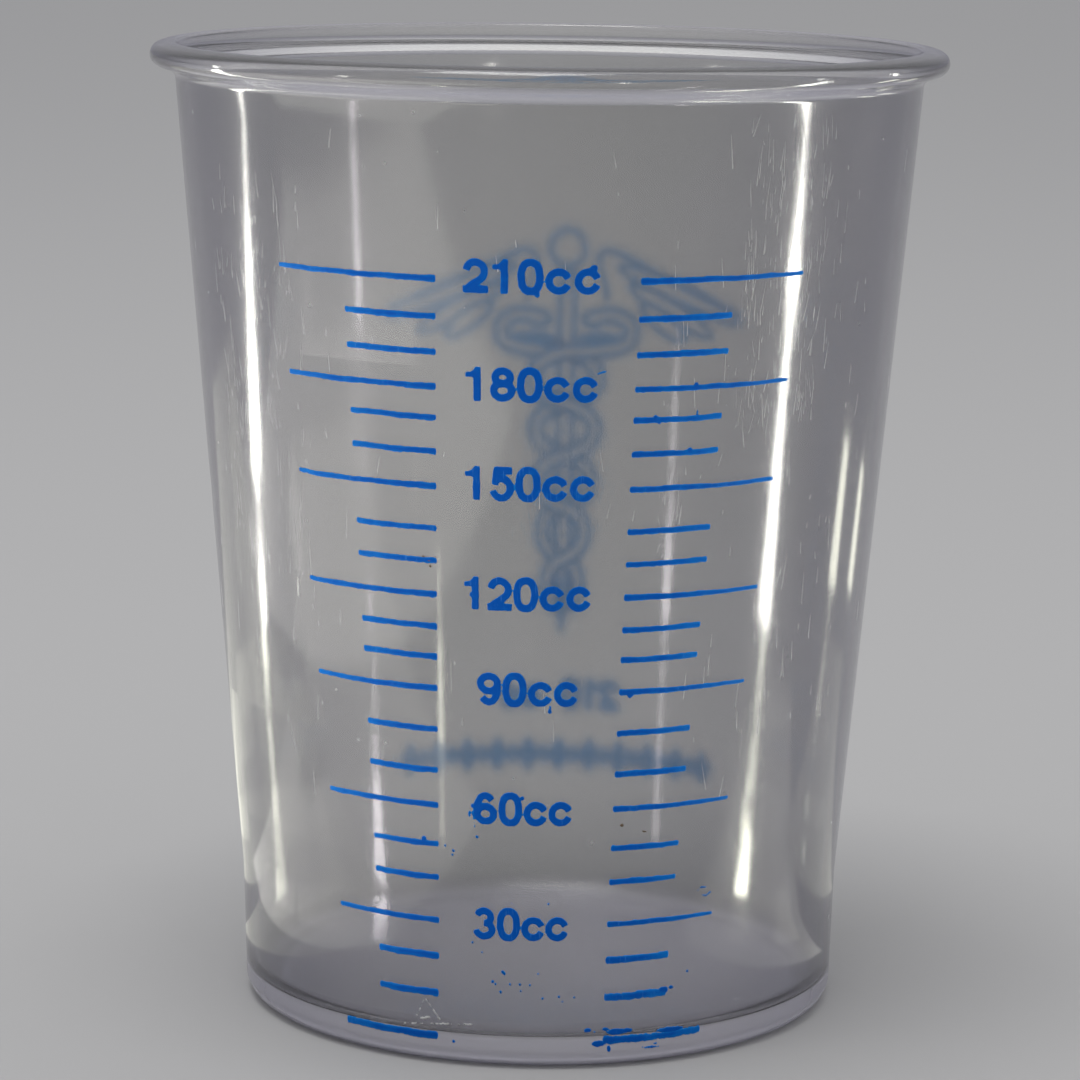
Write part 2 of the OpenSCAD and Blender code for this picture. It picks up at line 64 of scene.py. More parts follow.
MM = 0.001
cup_h = (cad_box[1].z - cad_box[0].z) / MM
print("CAD nodes:", len(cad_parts), "height in mm:", round(cup_h, 2))

# %% [markdown]
# ## The camera
#
# A photograph of a round cup holds its own camera: the ellipse of the rim is flatter than the
# ellipse of the foot, and the wall's two sides lean at different angles. Fitting those gives a
# long lens almost 40 cm away that looks down by ten degrees and is rolled by less than one.
# The matrix is built from three directions, because roll is hard to read out of Euler angles.

# %% Camera
camera_place = Vector((0, -391.3, 116.1)) * MM
camera_pitch = radians(10.304)
camera_yaw = radians(-0.049)
camera_roll = radians(0.763)
lens_mm = 134.93

forward = Vector((sin(camera_yaw) * cos(camera_pitch), cos(camera_yaw) * cos(camera_pitch),
                  -sin(camera_pitch)))
level_right = forward.cross(Vector((0, 0, 1))).normalized()
level_up = level_right.cross(forward)
right = level_right * cos(camera_roll) + level_up * sin(camera_roll)
up = level_up * cos(camera_roll) - level_right * sin(camera_roll)

camera_data = bpy.data.cameras.new("camera")
camera_data.lens = lens_mm
camera_data.sensor_width = 36
camera = bpy.data.objects.new("camera", camera_data)
camera.matrix_world = Matrix.Translation(camera_place) @ Matrix((right, up, -forward)).transposed().to_4x4()
bpy.context.scene.collection.objects.link(camera)
bpy.context.scene.camera = camera
print("camera looks along", tuple(round(v, 3) for v in forward))

# %% [markdown]
# ## The wall as a formula
#
# Everything on this cup sits on its wall, so the wall is written once, as a radius at a height.
# It is two straight slopes: a nearly upright band at the foot, and the taper above it. The larger
# of the two is always the wall, which saves a test for the corner between them.

# %% Sizes in millimetres, as in the CAD
foot_r, band_r, band_h = 29.05, 29.35, 12.8
rim_r, rim_overhang = 38.33, 2.13
wall_t, floor_t = 1.2, 1.6
corner_r, inner_corner_r = 1.9, 2.2
recess_depth, foot_ring_w, foot_slope_w = 0.6, 1.6, 0.8
gate_r, gate_h = 1.6, 0.25
rim_nose_r, rim_crown_h, rim_fillet_h = 1.1, 0.15, 1.1
lip_flare, lip_flare_h = 0.7, 4.2

mouth_r = rim_r - rim_overhang
taper = (mouth_r - band_r) / (cup_h - band_h)
band_growth = (band_r - foot_r) / (band_h - corner_r)


def wall_r(z):
    return max(foot_r + band_growth * (z - corner_r), band_r + taper * (z - band_h))


print("wall radius at the foot, the band and the mouth:",
      [round(wall_r(z), 2) for z in (corner_r, band_h, cup_h)])

# %% [markdown]
# ## Two drawing helpers
#
# Round stretches are arcs and cubic curves, given by their ends and by how hard each end pulls.
# The same two helpers draw the cup's profile and, later, the numerals.

# %% Arcs and curves


def arc(centre, rx, ry, start, end, steps):
    angles = np.radians(np.linspace(start, end, steps + 1))
    return np.stack([centre[0] + rx * np.cos(angles), centre[1] + ry * np.sin(angles)], 1)


def curve(a, b, c, d, steps):
    t = np.linspace(0, 1, steps + 1)[:, None]
    u = 1 - t
    return (u**3 * np.array(a) + 3 * u * u * t * np.array(b)
            + 3 * u * t * t * np.array(c) + t**3 * np.array(d))


print("a quarter arc of four steps has", len(arc((0, 0), 1, 1, 0, 90, 4)), "points")

# %% [markdown]
# ## The profile of the shell
#
# The shell is a shape of revolution: turn one outline about the cup's axis and it is done. The
# outline starts on the axis under the floor, goes round the foot ring, up the outside, over the
# bead and down the inside. Small corners are rounded with real arcs rather than left sharp,
# because clear plastic shows every corner twice, once in front and once through the wall.

# %% Profile points
fine_steps, edge_round = 14, 0.12
nose_turn = 72
ring_outer = foot_r - corner_r
ring_inner = ring_outer - foot_ring_w
inner_corner = (foot_r - wall_t - inner_corner_r, recess_depth + floor_t + inner_corner_r)
nose = np.array([rim_r - rim_nose_r, cup_h - rim_crown_h - rim_nose_r])
bead = arc(nose, rim_nose_r, rim_nose_r, -nose_turn, nose_turn, 2 * fine_steps)
neck_z = nose[1] - rim_nose_r - rim_fillet_h
neck = np.array([wall_r(neck_z), neck_z])
fillet_pull = 0.6 * rim_fillet_h
lip = np.array([mouth_r - wall_t + lip_flare, cup_h - 2 * rim_crown_h])
lip_heading = np.array([lip_flare, lip_flare_h / 2]) / np.hypot(lip_flare, lip_flare_h / 2)
crown = np.array([(nose[0] + lip[0]) / 2, cup_h])
crown_pull = np.array([(crown[0] - lip[0]) / 2, 0])
flare_foot = np.array([wall_r(cup_h - lip_flare_h) - wall_t, cup_h - lip_flare_h])
nose_sine, nose_cosine = sin(radians(nose_turn)), cos(radians(nose_turn))
wall_heading = np.array([taper, 1])


def straight(a, b, steps):
    return np.linspace(a, b, steps + 1)


gate_face = recess_depth - gate_h
gate_side = gate_r - gate_h
ring_slope = straight((ring_inner - foot_slope_w, recess_depth), (ring_inner, 0), 4)
stretches = [
    straight((0, gate_face), (gate_side - edge_round, gate_face), 3),
    straight((gate_side, gate_face), (gate_r, recess_depth), 2),
    straight((gate_r + edge_round, recess_depth), (ring_inner - foot_slope_w - edge_round, recess_depth), 8),
    ring_slope[1:-1],
    straight((ring_inner + edge_round, 0), (ring_outer, 0), 3),
    arc((ring_outer, corner_r), corner_r, corner_r, -90, 0, fine_steps)[1:],
    straight((foot_r, corner_r), (band_r, band_h), 8)[1:],
    straight((band_r, band_h), neck, 40)[1:],
    curve(neck, neck + fillet_pull * wall_heading,
          bead[0] - fillet_pull * np.array([nose_sine, nose_cosine]), bead[0], fine_steps)[1:],
    bead[1:],
    curve(bead[-1], bead[-1] + crown_pull[0] * np.array([-nose_sine, nose_cosine]),
          crown + crown_pull, crown, fine_steps)[1:],
    curve(crown, crown - crown_pull, lip + 2 * rim_crown_h * lip_heading, lip, fine_steps)[1:],
    curve(lip, lip - lip_flare * lip_heading, flare_foot + lip_flare_h / 2 * wall_heading,
          flare_foot, fine_steps)[1:],
    straight(flare_foot, (band_r - wall_t, band_h), 40)[1:],
    straight((band_r - wall_t, band_h), (foot_r - wall_t, inner_corner[1]), 6)[1:],
    arc(inner_corner, inner_corner_r, inner_corner_r, 0, -90, fine_steps)[1:],
    straight((inner_corner[0], recess_depth + floor_t), (0, recess_depth + floor_t), 10)[1:],
]
profile = np.concatenate(stretches)
print("profile points:", len(profile))

# %% [markdown]
# ## Building node trees from a script
#
# A node tree written in code is easier to follow if adding a node, setting its inputs and linking
# them is one call. A value that is a socket gets linked, and any other value gets set. The few
# nodes that every tree below needs have a short call of their own.

# %% Node helpers


def feed(socket, value):
    """Links a value that is a socket, and sets any other."""
    if isinstance(value, bpy.types.NodeSocket):
        socket.id_data.links.new(value, socket)
    else:
        socket.default_value = value


def add(tree, kind, **settings):
    """Adds a node. Keys that start with in_ are inputs, by place or by name; the rest are properties."""
    made = tree.nodes.new(kind)
    for key, value in settings.items():
        if not key.startswith("in_"):
            setattr(made, key, value)
    for key, value in settings.items():
        if key.startswith("in_"):
            name = key[3:]
            feed(made.inputs[int(name) if name.isdigit() else name.replace("_", " ")], value)
    return made


def maths(tree, operation, a, b=0.0, c=0.0):
    return add(tree, "ShaderNodeMath", operation=operation, in_0=a, in_1=b, in_2=c).outputs[0]


def noise(tree, place, scale, detail, **settings):
    return add(tree, "ShaderNodeTexNoise", in_Vector=place, in_Scale=scale, in_Detail=detail,
               **settings).outputs[0]


def mapped(tree, value, low, high):
    """A value brought from its own range to 0 to 1."""
    return add(tree, "ShaderNodeMapRange", in_0=value, in_1=low, in_2=high).outputs[0]


def new_tree(name, kind, inputs, outputs):
    """A node group with named sockets, and its two ends."""
    tree = bpy.data.node_groups.new(name, kind)
    for socket_name, socket_type, default in inputs:
        socket = tree.interface.new_socket(socket_name, in_out="INPUT", socket_type=socket_type)
        if default is not None:
            socket.default_value = default
    for socket_name, socket_type in outputs:
        tree.interface.new_socket(socket_name, in_out="OUTPUT", socket_type=socket_type)
    return tree, tree.nodes.new("NodeGroupInput").outputs, tree.nodes.new("NodeGroupOutput").inputs


print("node helpers are ready")

# %% [markdown]
# ## Fine wear, for more than one finish
#
# A cup like this is never flawless: it comes off its core with faint drawn lines, and it is
# scuffed in its sleeve. Both the plastic and the ink on it show the same wear, so the effect is a
# shader group with its own inputs. Noise that is stretched along the cup's axis gives the long
# drawn lines, a slow second noise breaks them up so that they start and stop, and a cell pattern
# adds the dust.

# %% Shader group: handling wear
wear_tree, wear_in, wear_out = new_tree(
    "handling_wear", "ShaderNodeTree",
    [("Fineness", "NodeSocketFloat", 7000.0), ("Stretch", "NodeSocketFloat", 0.03),
     ("Amount", "NodeSocketFloat", 0.5), ("Dust", "NodeSocketFloat", 0.5)],
    [("Lines", "NodeSocketFloat"), ("Dust", "NodeSocketFloat"), ("Height", "NodeSocketFloat")])
place = add(wear_tree, "ShaderNodeTexCoord").outputs["Object"]
stretch = add(wear_tree, "ShaderNodeCombineXYZ", in_X=1.0, in_Y=1.0, in_Z=wear_in["Stretch"]).outputs[0]
drawn = add(wear_tree, "ShaderNodeVectorMath", operation="MULTIPLY", in_0=place, in_1=stretch).outputs[0]
lines = noise(wear_tree, drawn, wear_in["Fineness"], 2.0)
patches = noise(wear_tree, place, 75.0, 3.0)
broken_lines = maths(wear_tree, "MULTIPLY", mapped(wear_tree, lines, 0.6, 0.72),
                     mapped(wear_tree, patches, 0.45, 0.65))
line_mask = maths(wear_tree, "MULTIPLY", broken_lines, wear_in["Amount"])
grains = add(wear_tree, "ShaderNodeTexVoronoi", in_Vector=place, in_Scale=420.0).outputs
grain_size = add(wear_tree, "ShaderNodeSeparateColor", in_0=grains["Color"]).outputs[0]
grain_r = maths(wear_tree, "MULTIPLY", maths(wear_tree, "POWER", grain_size, 12.0), 0.09)
inside_grain = maths(wear_tree, "LESS_THAN", grains["Distance"], grain_r)
dust_mask = maths(wear_tree, "MULTIPLY", inside_grain, wear_in["Dust"])
height = maths(wear_tree, "MULTIPLY_ADD", lines, 0.15, maths(wear_tree, "ADD", line_mask, dust_mask))
for socket, value in (("Lines", line_mask), ("Dust", dust_mask), ("Height", height)):
    feed(wear_out[socket], value)
print("handling_wear sockets:", [item.name for item in wear_tree.interface.items_tree])

# %% [markdown]
# ## Helpers for finishes
#
# Every finish on this cup is one Principled shader with a few things fed into it: a mix of colours,
# noise that is fixed to the cup, the handling wear and bumps. Each of those is a call of its own, so
# that a finish reads as a short list of decisions.

# %% Shader helpers


def material(name):
    made = bpy.data.materials.new(name)
    made.use_nodes = True
    tree = made.node_tree
    return made, tree, next(n for n in tree.nodes if n.type == "BSDF_PRINCIPLED")


def set_inputs(shader, **values):
    for key, value in values.items():
        feed(shader.inputs[key.replace("_", " ")], value)


def blended(tree, factor, a, b):
    """A colour mix whose two ends are colours or sockets."""
    made = add(tree, "ShaderNodeMix", data_type="RGBA", in_Factor=factor)
    for name, value in (("A", a), ("B", b)):
        socket = [s for s in made.inputs if s.name == name and s.type == "RGBA"][0]
        feed(socket, value + (1,) if isinstance(value, tuple) else value)
    return [s for s in made.outputs if s.type == "RGBA"][0]


def cloud(tree, scale, detail):
    """Noise that is fixed to the cup."""
    return noise(tree, add(tree, "ShaderNodeTexCoord").outputs["Object"], scale, detail)


def wear_on(tree, fineness, stretch, amount, dust):
    return add(tree, "ShaderNodeGroup", node_tree=wear_tree, in_Fineness=fineness, in_Stretch=stretch,
               in_Amount=amount, in_Dust=dust).outputs


def bumps(tree, height, strength, distance, **settings):
    return add(tree, "ShaderNodeBump", in_Strength=strength, in_Distance=distance, in_Height=height,
               **settings).outputs[0]


print("shader helpers are ready")

# %% [markdown]
# ## Clear plastic
#
# Moulded polypropylene is clear but never quite as clear as glass: it holds a little light, so
# the wall looks faintly grey and the print on the far side is soft. Transmission a little under
# one gives the milk, and a little roughness blurs what is far behind the wall while it leaves what
# lies on the wall sharp. Where the wall is seen edge on, Layer Weight mixes in a darker lavender
# colour: painted edge shade, with a little of the plastic's own tint in it. A thin coat with its own,
# wider gloss puts a halo round every streak of light. The floor and the thick corner of the foot
# get a paler, duller and less clear mix from the same function: partly a frosted finish, partly
# painted light that brightens the base where little light comes through the plastic.

# %% Material: clear plastic


def plastic(name, hazy, clear, edge, transmission, dullness):
    """Moulded plastic in a cloudy mix of two shades, with painted edge shade that darkens it seen edge-on, that
    passes a share of the light.
    """
    made, tree, shader = material(name)
    set_inputs(shader, Transmission_Weight=transmission, IOR=1.49)
    set_inputs(shader, Coat_Weight=0.15, Coat_Roughness=0.3, Coat_IOR=1.5)
    wear = wear_on(tree, 7000.0, 0.03, 0.6, 0.6)
    haze = cloud(tree, 26.0, 4.0)
    cloudy = mapped(tree, haze, 0.3, 0.75)
    # Layer Weight mixes in the darker edge colour where the wall is seen edge on: painted edge shade.
    painted_edge_shade = add(tree, "ShaderNodeLayerWeight", in_Blend=0.5).outputs["Facing"]
    shade = blended(tree, painted_edge_shade, blended(tree, cloudy, hazy, clear), edge)
    gloss = maths(tree, "MULTIPLY_ADD", wear["Lines"], 0.1, maths(tree, "MULTIPLY_ADD", cloudy, 0.02, dullness))
    dents = bumps(tree, wear["Height"], 0.12, 0.00003)
    set_inputs(shader, Base_Color=blended(tree, wear["Dust"], shade, (0.97, 0.97, 0.95)),
               Roughness=maths(tree, "MULTIPLY_ADD", wear["Dust"], 0.3, gloss),
               Normal=bumps(tree, haze, 0.12, 0.0004, in_Normal=dents))
    return made


clear_plastic = plastic("clear_plastic", (0.7, 0.7, 0.69), (0.76, 0.76, 0.76), (0.28, 0.27, 0.38), 0.97, 0.09)
# Paler, less clear colours for the floor and the foot's corner: partly a frosted finish, partly painted light
# that brightens the base.
frosted_foot_painted_light = plastic("frosted_foot_painted_light", (0.82, 0.81, 0.87), (0.9, 0.89, 0.95), (0.52, 0.51, 0.62), 0.66, 0.17)
print("clear_plastic nodes:", len(clear_plastic.node_tree.nodes))

# %% [markdown]
# ## From a tree to a plain mesh
#
# Geometry nodes only describe a shape, and other programs need the result. Each tree below
# therefore ends in the same three nodes: smooth faces, real instances and a material. Blender then
# evaluates the tree once, and the outcome is kept as an ordinary mesh without its modifier.
# Applying the modifier would do the same, but a copy of the evaluated mesh needs no selection.

# %% Ends of geometry trees


def point_place(tree):
    """The x, y and z of each point of the geometry that a tree works on."""
    return add(tree, "ShaderNodeSeparateXYZ", in_0=add(tree, "GeometryNodeInputPosition").outputs[0]).outputs


def finished(tree, geometry, finish):
    """The end of each geometry tree: smooth faces, real instances and a material."""
    smooth = add(tree, "GeometryNodeSetShadeSmooth", in_Geometry=geometry).outputs[0]
    real = add(tree, "GeometryNodeRealizeInstances", in_Geometry=smooth).outputs[0]
    return add(tree, "GeometryNodeSetMaterial", in_Geometry=real, in_Material=finish).outputs[0]


def baked(name, mesh, tree, **values):
    """Runs a geometry tree on a mesh and keeps the result as a plain mesh object."""
    source = bpy.data.objects.new(name + "_source", mesh)
    bpy.context.scene.collection.objects.link(source)
    modifier = source.modifiers.new("tree", "NODES")
    modifier.node_group = tree
    sockets = {item.name: item.identifier for item in tree.interface.items_tree if item.in_out == "INPUT"}
    for key, value in values.items():
        modifier[sockets[key.replace("_", " ")]] = value
    evaluated = source.evaluated_get(bpy.context.evaluated_depsgraph_get())
    made = bpy.data.objects.new(name, bpy.data.meshes.new_from_object(evaluated))
    made.data.name = name
    source.modifiers.remove(modifier)
    bpy.data.objects.remove(source)
    bpy.context.scene.collection.objects.link(made)
    return made


print("helpers for geometry trees are ready")

# %% [markdown]
# ## Turning the profile into the shell
#
# The Screw modifier or Spin would do, but a small geometry tree says the rule outright: a grid has
# one column for each step of the turn and one row for each profile point, and every grid point
# looks up its profile point and swings it round the axis. Merging by distance then closes the seam
# and the two poles. The tree works for any other cup or bottle profile. Faces below a height of
# its own, here those of the floor and the foot's corner, get a second finish.

# %% Geometry tree: lathe
turn_steps = 256
foot_finish_h = recess_depth + floor_t + 0.4

lathe, given, made = new_tree(
    "lathe", "GeometryNodeTree",
    [("Profile", "NodeSocketGeometry", None), ("Steps", "NodeSocketInt", turn_steps),
     ("Finish", "NodeSocketMaterial", None), ("Foot Finish", "NodeSocketMaterial", None),
     ("Foot Height", "NodeSocketFloat", foot_finish_h * MM)],
    [("Geometry", "NodeSocketGeometry")])
rows = add(lathe, "GeometryNodeAttributeDomainSize", in_Geometry=given["Profile"]).outputs["Point Count"]
columns = maths(lathe, "ADD", given["Steps"], 1.0)
grid = add(lathe, "GeometryNodeMeshGrid", in_Size_X=1.0, in_Size_Y=1.0, in_Vertices_X=columns,
           in_Vertices_Y=rows)
index = add(lathe, "GeometryNodeInputIndex").outputs[0]
row = maths(lathe, "MODULO", index, rows)
column = maths(lathe, "FLOOR", maths(lathe, "DIVIDE", index, rows))
found = add(lathe, "GeometryNodeSampleIndex", data_type="FLOAT_VECTOR", in_Geometry=given["Profile"],
            in_Value=add(lathe, "GeometryNodeInputPosition").outputs[0], in_Index=row).outputs[0]
point = add(lathe, "ShaderNodeSeparateXYZ", in_0=found).outputs
turn = maths(lathe, "DIVIDE", maths(lathe, "MULTIPLY", column, 2 * pi), given["Steps"])
swung = add(lathe, "ShaderNodeCombineXYZ",
            in_X=maths(lathe, "MULTIPLY", point["X"], maths(lathe, "COSINE", turn)),
            in_Y=maths(lathe, "MULTIPLY", point["X"], maths(lathe, "SINE", turn)), in_Z=point["Z"]).outputs[0]
body = add(lathe, "GeometryNodeSetPosition", in_Geometry=grid.outputs["Mesh"], in_Position=swung).outputs[0]
body = add(lathe, "GeometryNodeMergeByDistance", in_Geometry=body, in_Distance=0.000002).outputs[0]
body = finished(lathe, body, given["Finish"])
at_foot = add(lathe, "FunctionNodeCompare", data_type="FLOAT", operation="LESS_THAN",
              in_0=point_place(lathe)["Z"], in_1=given["Foot Height"]).outputs[0]
body = add(lathe, "GeometryNodeSetMaterial", in_Geometry=body, in_Selection=at_foot,
           in_Material=given["Foot Finish"]).outputs[0]
feed(made["Geometry"], body)
print("lathe inputs:", list(given.keys()))

# %% Cup shell


def volume_mm3(mesh):
    mesh.calc_loop_triangles()
    corners = [[mesh.vertices[i].co for i in t.vertices] for t in mesh.loop_triangles]
    return sum(a.dot(b.cross(c)) for a, b, c in corners) / 6 / MM**3


profile_mesh = bpy.data.meshes.new("profile")
profile_mesh.from_pydata([(r * MM, 0, z * MM) for r, z in profile], [], [])
cup_shell = baked("cup_shell_clear", profile_mesh, lathe, Steps=turn_steps, Finish=clear_plastic,
                  Foot_Finish=frosted_foot_painted_light)
if volume_mm3(cup_shell.data) < 0:
    cup_shell.data.flip_normals()
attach(cup_shell, "root")
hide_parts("cup_shell")
print("shell faces:", len(cup_shell.data.polygons), "volume in mm3:", round(volume_mm3(cup_shell.data)))

# %% [markdown]
# ## Laying a flat drawing round the wall
#
# The print was made flat and rolled round the cup, so it is drawn flat here too. A drawing's x is
# arc along the wall at the line for 210, its y is height, and its z is how thick the ink stands. One
# small group turns those three into a place on the wall, and both printing trees below use it.

# %% Geometry group: on the wall
base_line_z, line_30_z = 2.8, 14.1
rises = {60: 11.2, 90: 11.2, 120: 8.9, 150: 10.1, 180: 9.2, 210: 9.8}
long_z = {30: line_30_z}
for mark, rise in rises.items():
    long_z[mark] = long_z[mark - 30] + rise
numeral_r = wall_r(long_z[210])
print_turn, back_turn = radians(-3.2), radians(-3.8) + pi
print_lean = radians(0.025)

on_wall, given, made = new_tree(
    "on_the_wall", "GeometryNodeTree",
    [("Turn", "NodeSocketFloat", 0.0), ("Height", "NodeSocketFloat", 0.0), ("Film", "NodeSocketFloat", 0.0),
     ("Foot Radius", "NodeSocketFloat", (foot_r - band_growth * corner_r) * MM),
     ("Band Growth", "NodeSocketFloat", band_growth),
     ("Taper Radius", "NodeSocketFloat", (band_r - taper * band_h) * MM), ("Taper", "NodeSocketFloat", taper)],
    [("Position", "NodeSocketVector")])
low_r = maths(on_wall, "MULTIPLY_ADD", given["Height"], given["Band Growth"], given["Foot Radius"])
high_r = maths(on_wall, "MULTIPLY_ADD", given["Height"], given["Taper"], given["Taper Radius"])
radius = maths(on_wall, "ADD", maths(on_wall, "MAXIMUM", low_r, high_r), given["Film"])
aside = maths(on_wall, "MULTIPLY", radius, maths(on_wall, "SINE", given["Turn"]))
behind = maths(on_wall, "MULTIPLY", radius, maths(on_wall, "COSINE", given["Turn"]))
placed = add(on_wall, "ShaderNodeCombineXYZ", in_X=aside, in_Y=maths(on_wall, "MULTIPLY", behind, -1.0),
             in_Z=given["Height"]).outputs[0]
feed(made["Position"], placed)
print("heights of the long lines:", {k: round(v, 1) for k, v in long_z.items()})

# %% [markdown]
# ## Blue ink
#
# Screen ink lies on the plastic as a thin satin film. It is darkest where it is thick, lighter at
# its edges where it thins out, and worn by the same fine lines as the wall. The film's own
# thickness is stored on each point as an attribute, so the material can follow it. The print on
# the back is seen from inside, with the light behind it, so it gets a second copy of the ink that
# lets most of that light through and is much lighter and bluer: painted backlight, since the ink on
# both sides is the same.

# %% Material: blue ink


def ink(name, thin, thick, transmission):
    """Screen ink, from its thin to its thick shade, that lets a share of the light through."""
    made, tree, shader = material(name)
    set_inputs(shader, IOR=1.5, Specular_IOR_Level=0.06, Transmission_Weight=transmission)
    thickness = add(tree, "ShaderNodeAttribute", attribute_name="ink_thickness").outputs["Fac"]
    pooling = cloud(tree, 900.0, 3.0)
    depth = maths(tree, "MULTIPLY", thickness, maths(tree, "MULTIPLY_ADD", pooling, 0.8, 0.6))
    ink_shade = add(tree, "ShaderNodeValToRGB", in_Fac=depth)
    for stop, at, shade in zip(ink_shade.color_ramp.elements, (0.1, 0.95), (thin, thick)):
        stop.position = at
        stop.color = shade + (1,)
    worn = wear_on(tree, 6000.0, 0.04, 0.3, 0.0)["Lines"]
    set_inputs(shader, Base_Color=blended(tree, worn, ink_shade.outputs["Color"], (0.1, 0.33, 0.75)),
               Roughness=maths(tree, "MULTIPLY_ADD", pooling, 0.3, 0.35),
               Normal=bumps(tree, pooling, 0.3, 0.00003))
    return made


blue_ink = ink("blue_ink", (0.003, 0.19, 0.58), (0.0, 0.07, 0.36), 0.0)
# The back print's copy of the same ink is lighter and lets light through: painted backlight.
backlit_ink_painted = ink("backlit_ink_painted", (0.07, 0.5, 1.0), (0.01, 0.38, 1.0), 0.9)
print("blue_ink nodes:", len(blue_ink.node_tree.nodes))

# %% [markdown]
# ## Strips on the wall
#
# The scale has 44 lines that differ only in where they start and end, how thick they are and how
# they taper, and later the fine scratches turn out to be the same thing upright. That is what
# instances are for: a mesh with one point for each strip carries those facts as attributes, a tree
# puts one grid on each point, and after realizing them every vertex still knows its own strip. Each
# grid is rolled into a flat closed sausage, roughened by noise, then laid on the wall.

# %% Geometry tree: strips on the wall
film_gap, film_t = -0.006, 0.05

strip_tree, given, made = new_tree(
    "strips_on_the_wall", "GeometryNodeTree",
    [("Strips", "NodeSocketGeometry", None), ("Along", "NodeSocketInt", 170), ("Round", "NodeSocketInt", 12),
     ("Film", "NodeSocketFloat", film_t * MM), ("Gap", "NodeSocketFloat", film_gap * MM),
     ("Fade", "NodeSocketFloat", 0.35), ("Finish", "NodeSocketMaterial", None)],
    [("Geometry", "NodeSocketGeometry")])


def read(name):
    return add(strip_tree, "GeometryNodeInputNamedAttribute", data_type="FLOAT", in_Name=name).outputs[0]


def stored(geometry, name, value):
    return add(strip_tree, "GeometryNodeStoreNamedAttribute", data_type="FLOAT", domain="POINT",
               in_Geometry=geometry, in_Name=name, in_Value=value).outputs[0]


def maths_here(operation, *values):
    return maths(strip_tree, operation, *values)


def times(a, b, *rest):
    """A product, with a third value added to it where there is one."""
    return maths_here("MULTIPLY_ADD" if rest else "MULTIPLY", a, b, *rest)


def minus(a, b):
    return maths_here("SUBTRACT", a, b)


unit_mesh = add(strip_tree, "GeometryNodeMeshGrid", in_Size_X=1.0, in_Size_Y=1.0, in_Vertices_X=given["Along"],
                in_Vertices_Y=given["Round"]).outputs["Mesh"]
corner = point_place(strip_tree)
for name, coordinate in (("along", corner["X"]), ("round", corner["Y"])):
    unit_mesh = stored(unit_mesh, name, maths_here("ADD", coordinate, 0.5))
copies = add(strip_tree, "GeometryNodeInstanceOnPoints", in_Points=given["Strips"],
             in_Instance=unit_mesh).outputs[0]
copies = add(strip_tree, "GeometryNodeRealizeInstances", in_Geometry=copies).outputs[0]
print("inputs of the strip tree:", list(given.keys()))

# %% [markdown]
# A strip's middle line runs from one place on the wall to another. Its width is fullest near the
# inner end, thins out towards the tip and rounds off at both ends.

# %% Length and width of a strip
share = times(maths_here("COSINE", times(read("along"), pi)), -0.5, 0.5)
turn_span = minus(read("turn_to"), read("turn_from"))
rise = minus(read("height_to"), read("height_from"))
run_x = times(turn_span, read("radius"))
length = maths_here("SQRT", maths_here("ADD", times(run_x, run_x), times(rise, rise)))
heading_x, heading_z = maths_here("DIVIDE", run_x, length), maths_here("DIVIDE", rise, length)

half_w = times(read("thickness"), 0.5)
to_end = times(maths_here("MINIMUM", share, minus(1.0, share)), length)
flat_end = minus(1.0, maths_here("MINIMUM", maths_here("DIVIDE", to_end, times(half_w, 0.6)), 1.0))
end_round = maths_here("SQRT", minus(1.0, times(flat_end, flat_end)))
inner_bulge = times(maths_here("MINIMUM", times(share, 7.0), 1.0), -0.1, 1.1)
thinning = times(minus(1.0, read("tip")), maths_here("POWER", share, 1.6))
own_w = times(half_w, minus(inner_bulge, thinning))
print("nodes up to the width:", len(strip_tree.nodes))

# %% [markdown]
# Once round the strip is a full turn, whose two halves are the top and the underside of the film.
# Fine noise makes its edge ragged, slow noise lets it swell and drift, and its outer end smiles
# upwards a little. Where the film is thin, the ink is too.

# %% Place and thickness of each point
roll = times(read("round"), 2 * pi)
across, lift = maths_here("COSINE", roll), maths_here("SINE", roll)
turn_mid = times(turn_span, share, read("turn_from"))
height_mid = times(rise, share, read("height_from"))
chance_at = add(strip_tree, "ShaderNodeCombineXYZ", in_X=times(times(length, share), 1000.0),
                in_Y=times(across, 0.6), in_Z=read("chance")).outputs[0]
fine = noise(strip_tree, chance_at, 2.6, 4.0, in_Roughness=0.7)
slow = noise(strip_tree, chance_at, 0.35, 1.0)
swell = times(minus(fine, 0.5), times(read("ragged"), 4.0), times(minus(slow, 0.5), 0.3, 1.0))
drift = times(minus(slow, 0.5), times(half_w, 0.7))
edge_w = times(times(own_w, swell), end_round)
aside = times(across, edge_w, drift)
turn = minus(turn_mid, maths_here("DIVIDE", times(heading_z, aside), read("radius")))
smile = times(read("smile"), times(share, share))
height = maths_here("ADD", times(heading_x, aside, height_mid), smile)
body_t = times(times(given["Film"], end_round), 0.5)
film = maths_here("ADD", times(lift, body_t, body_t), given["Gap"])
spot = add(strip_tree, "GeometryNodeGroup", node_tree=on_wall, in_Turn=turn, in_Height=height,
           in_Film=film).outputs[0]

faded = minus(1.0, times(given["Fade"], times(share, share)))
edge_thin = maths_here("SQRT", minus(1.05, times(across, across)))
strips = stored(copies, "ink_thickness", times(times(end_round, faded), edge_thin))
strips = add(strip_tree, "GeometryNodeSetPosition", in_Geometry=strips, in_Position=spot).outputs[0]
strips = add(strip_tree, "GeometryNodeMergeByDistance", in_Geometry=strips, in_Distance=0.0000015).outputs[0]
feed(made["Geometry"], finished(strip_tree, strips, given["Finish"]))
print("strips_on_the_wall nodes:", len(strip_tree.nodes))

# %% [markdown]
# ## Which lines there are
#
# A long line stands at every 30 and two short ones lie between each pair, all outside a gap that
# the numerals fill. They were set by hand, so the short ones are not quite evenly spaced. Lines grow
# longer up the cup because the wall does, their outer ends stand a hair higher than their inner
# ones, and the long lines on the right thin out to a point, as from a squeegee that was lifting off.

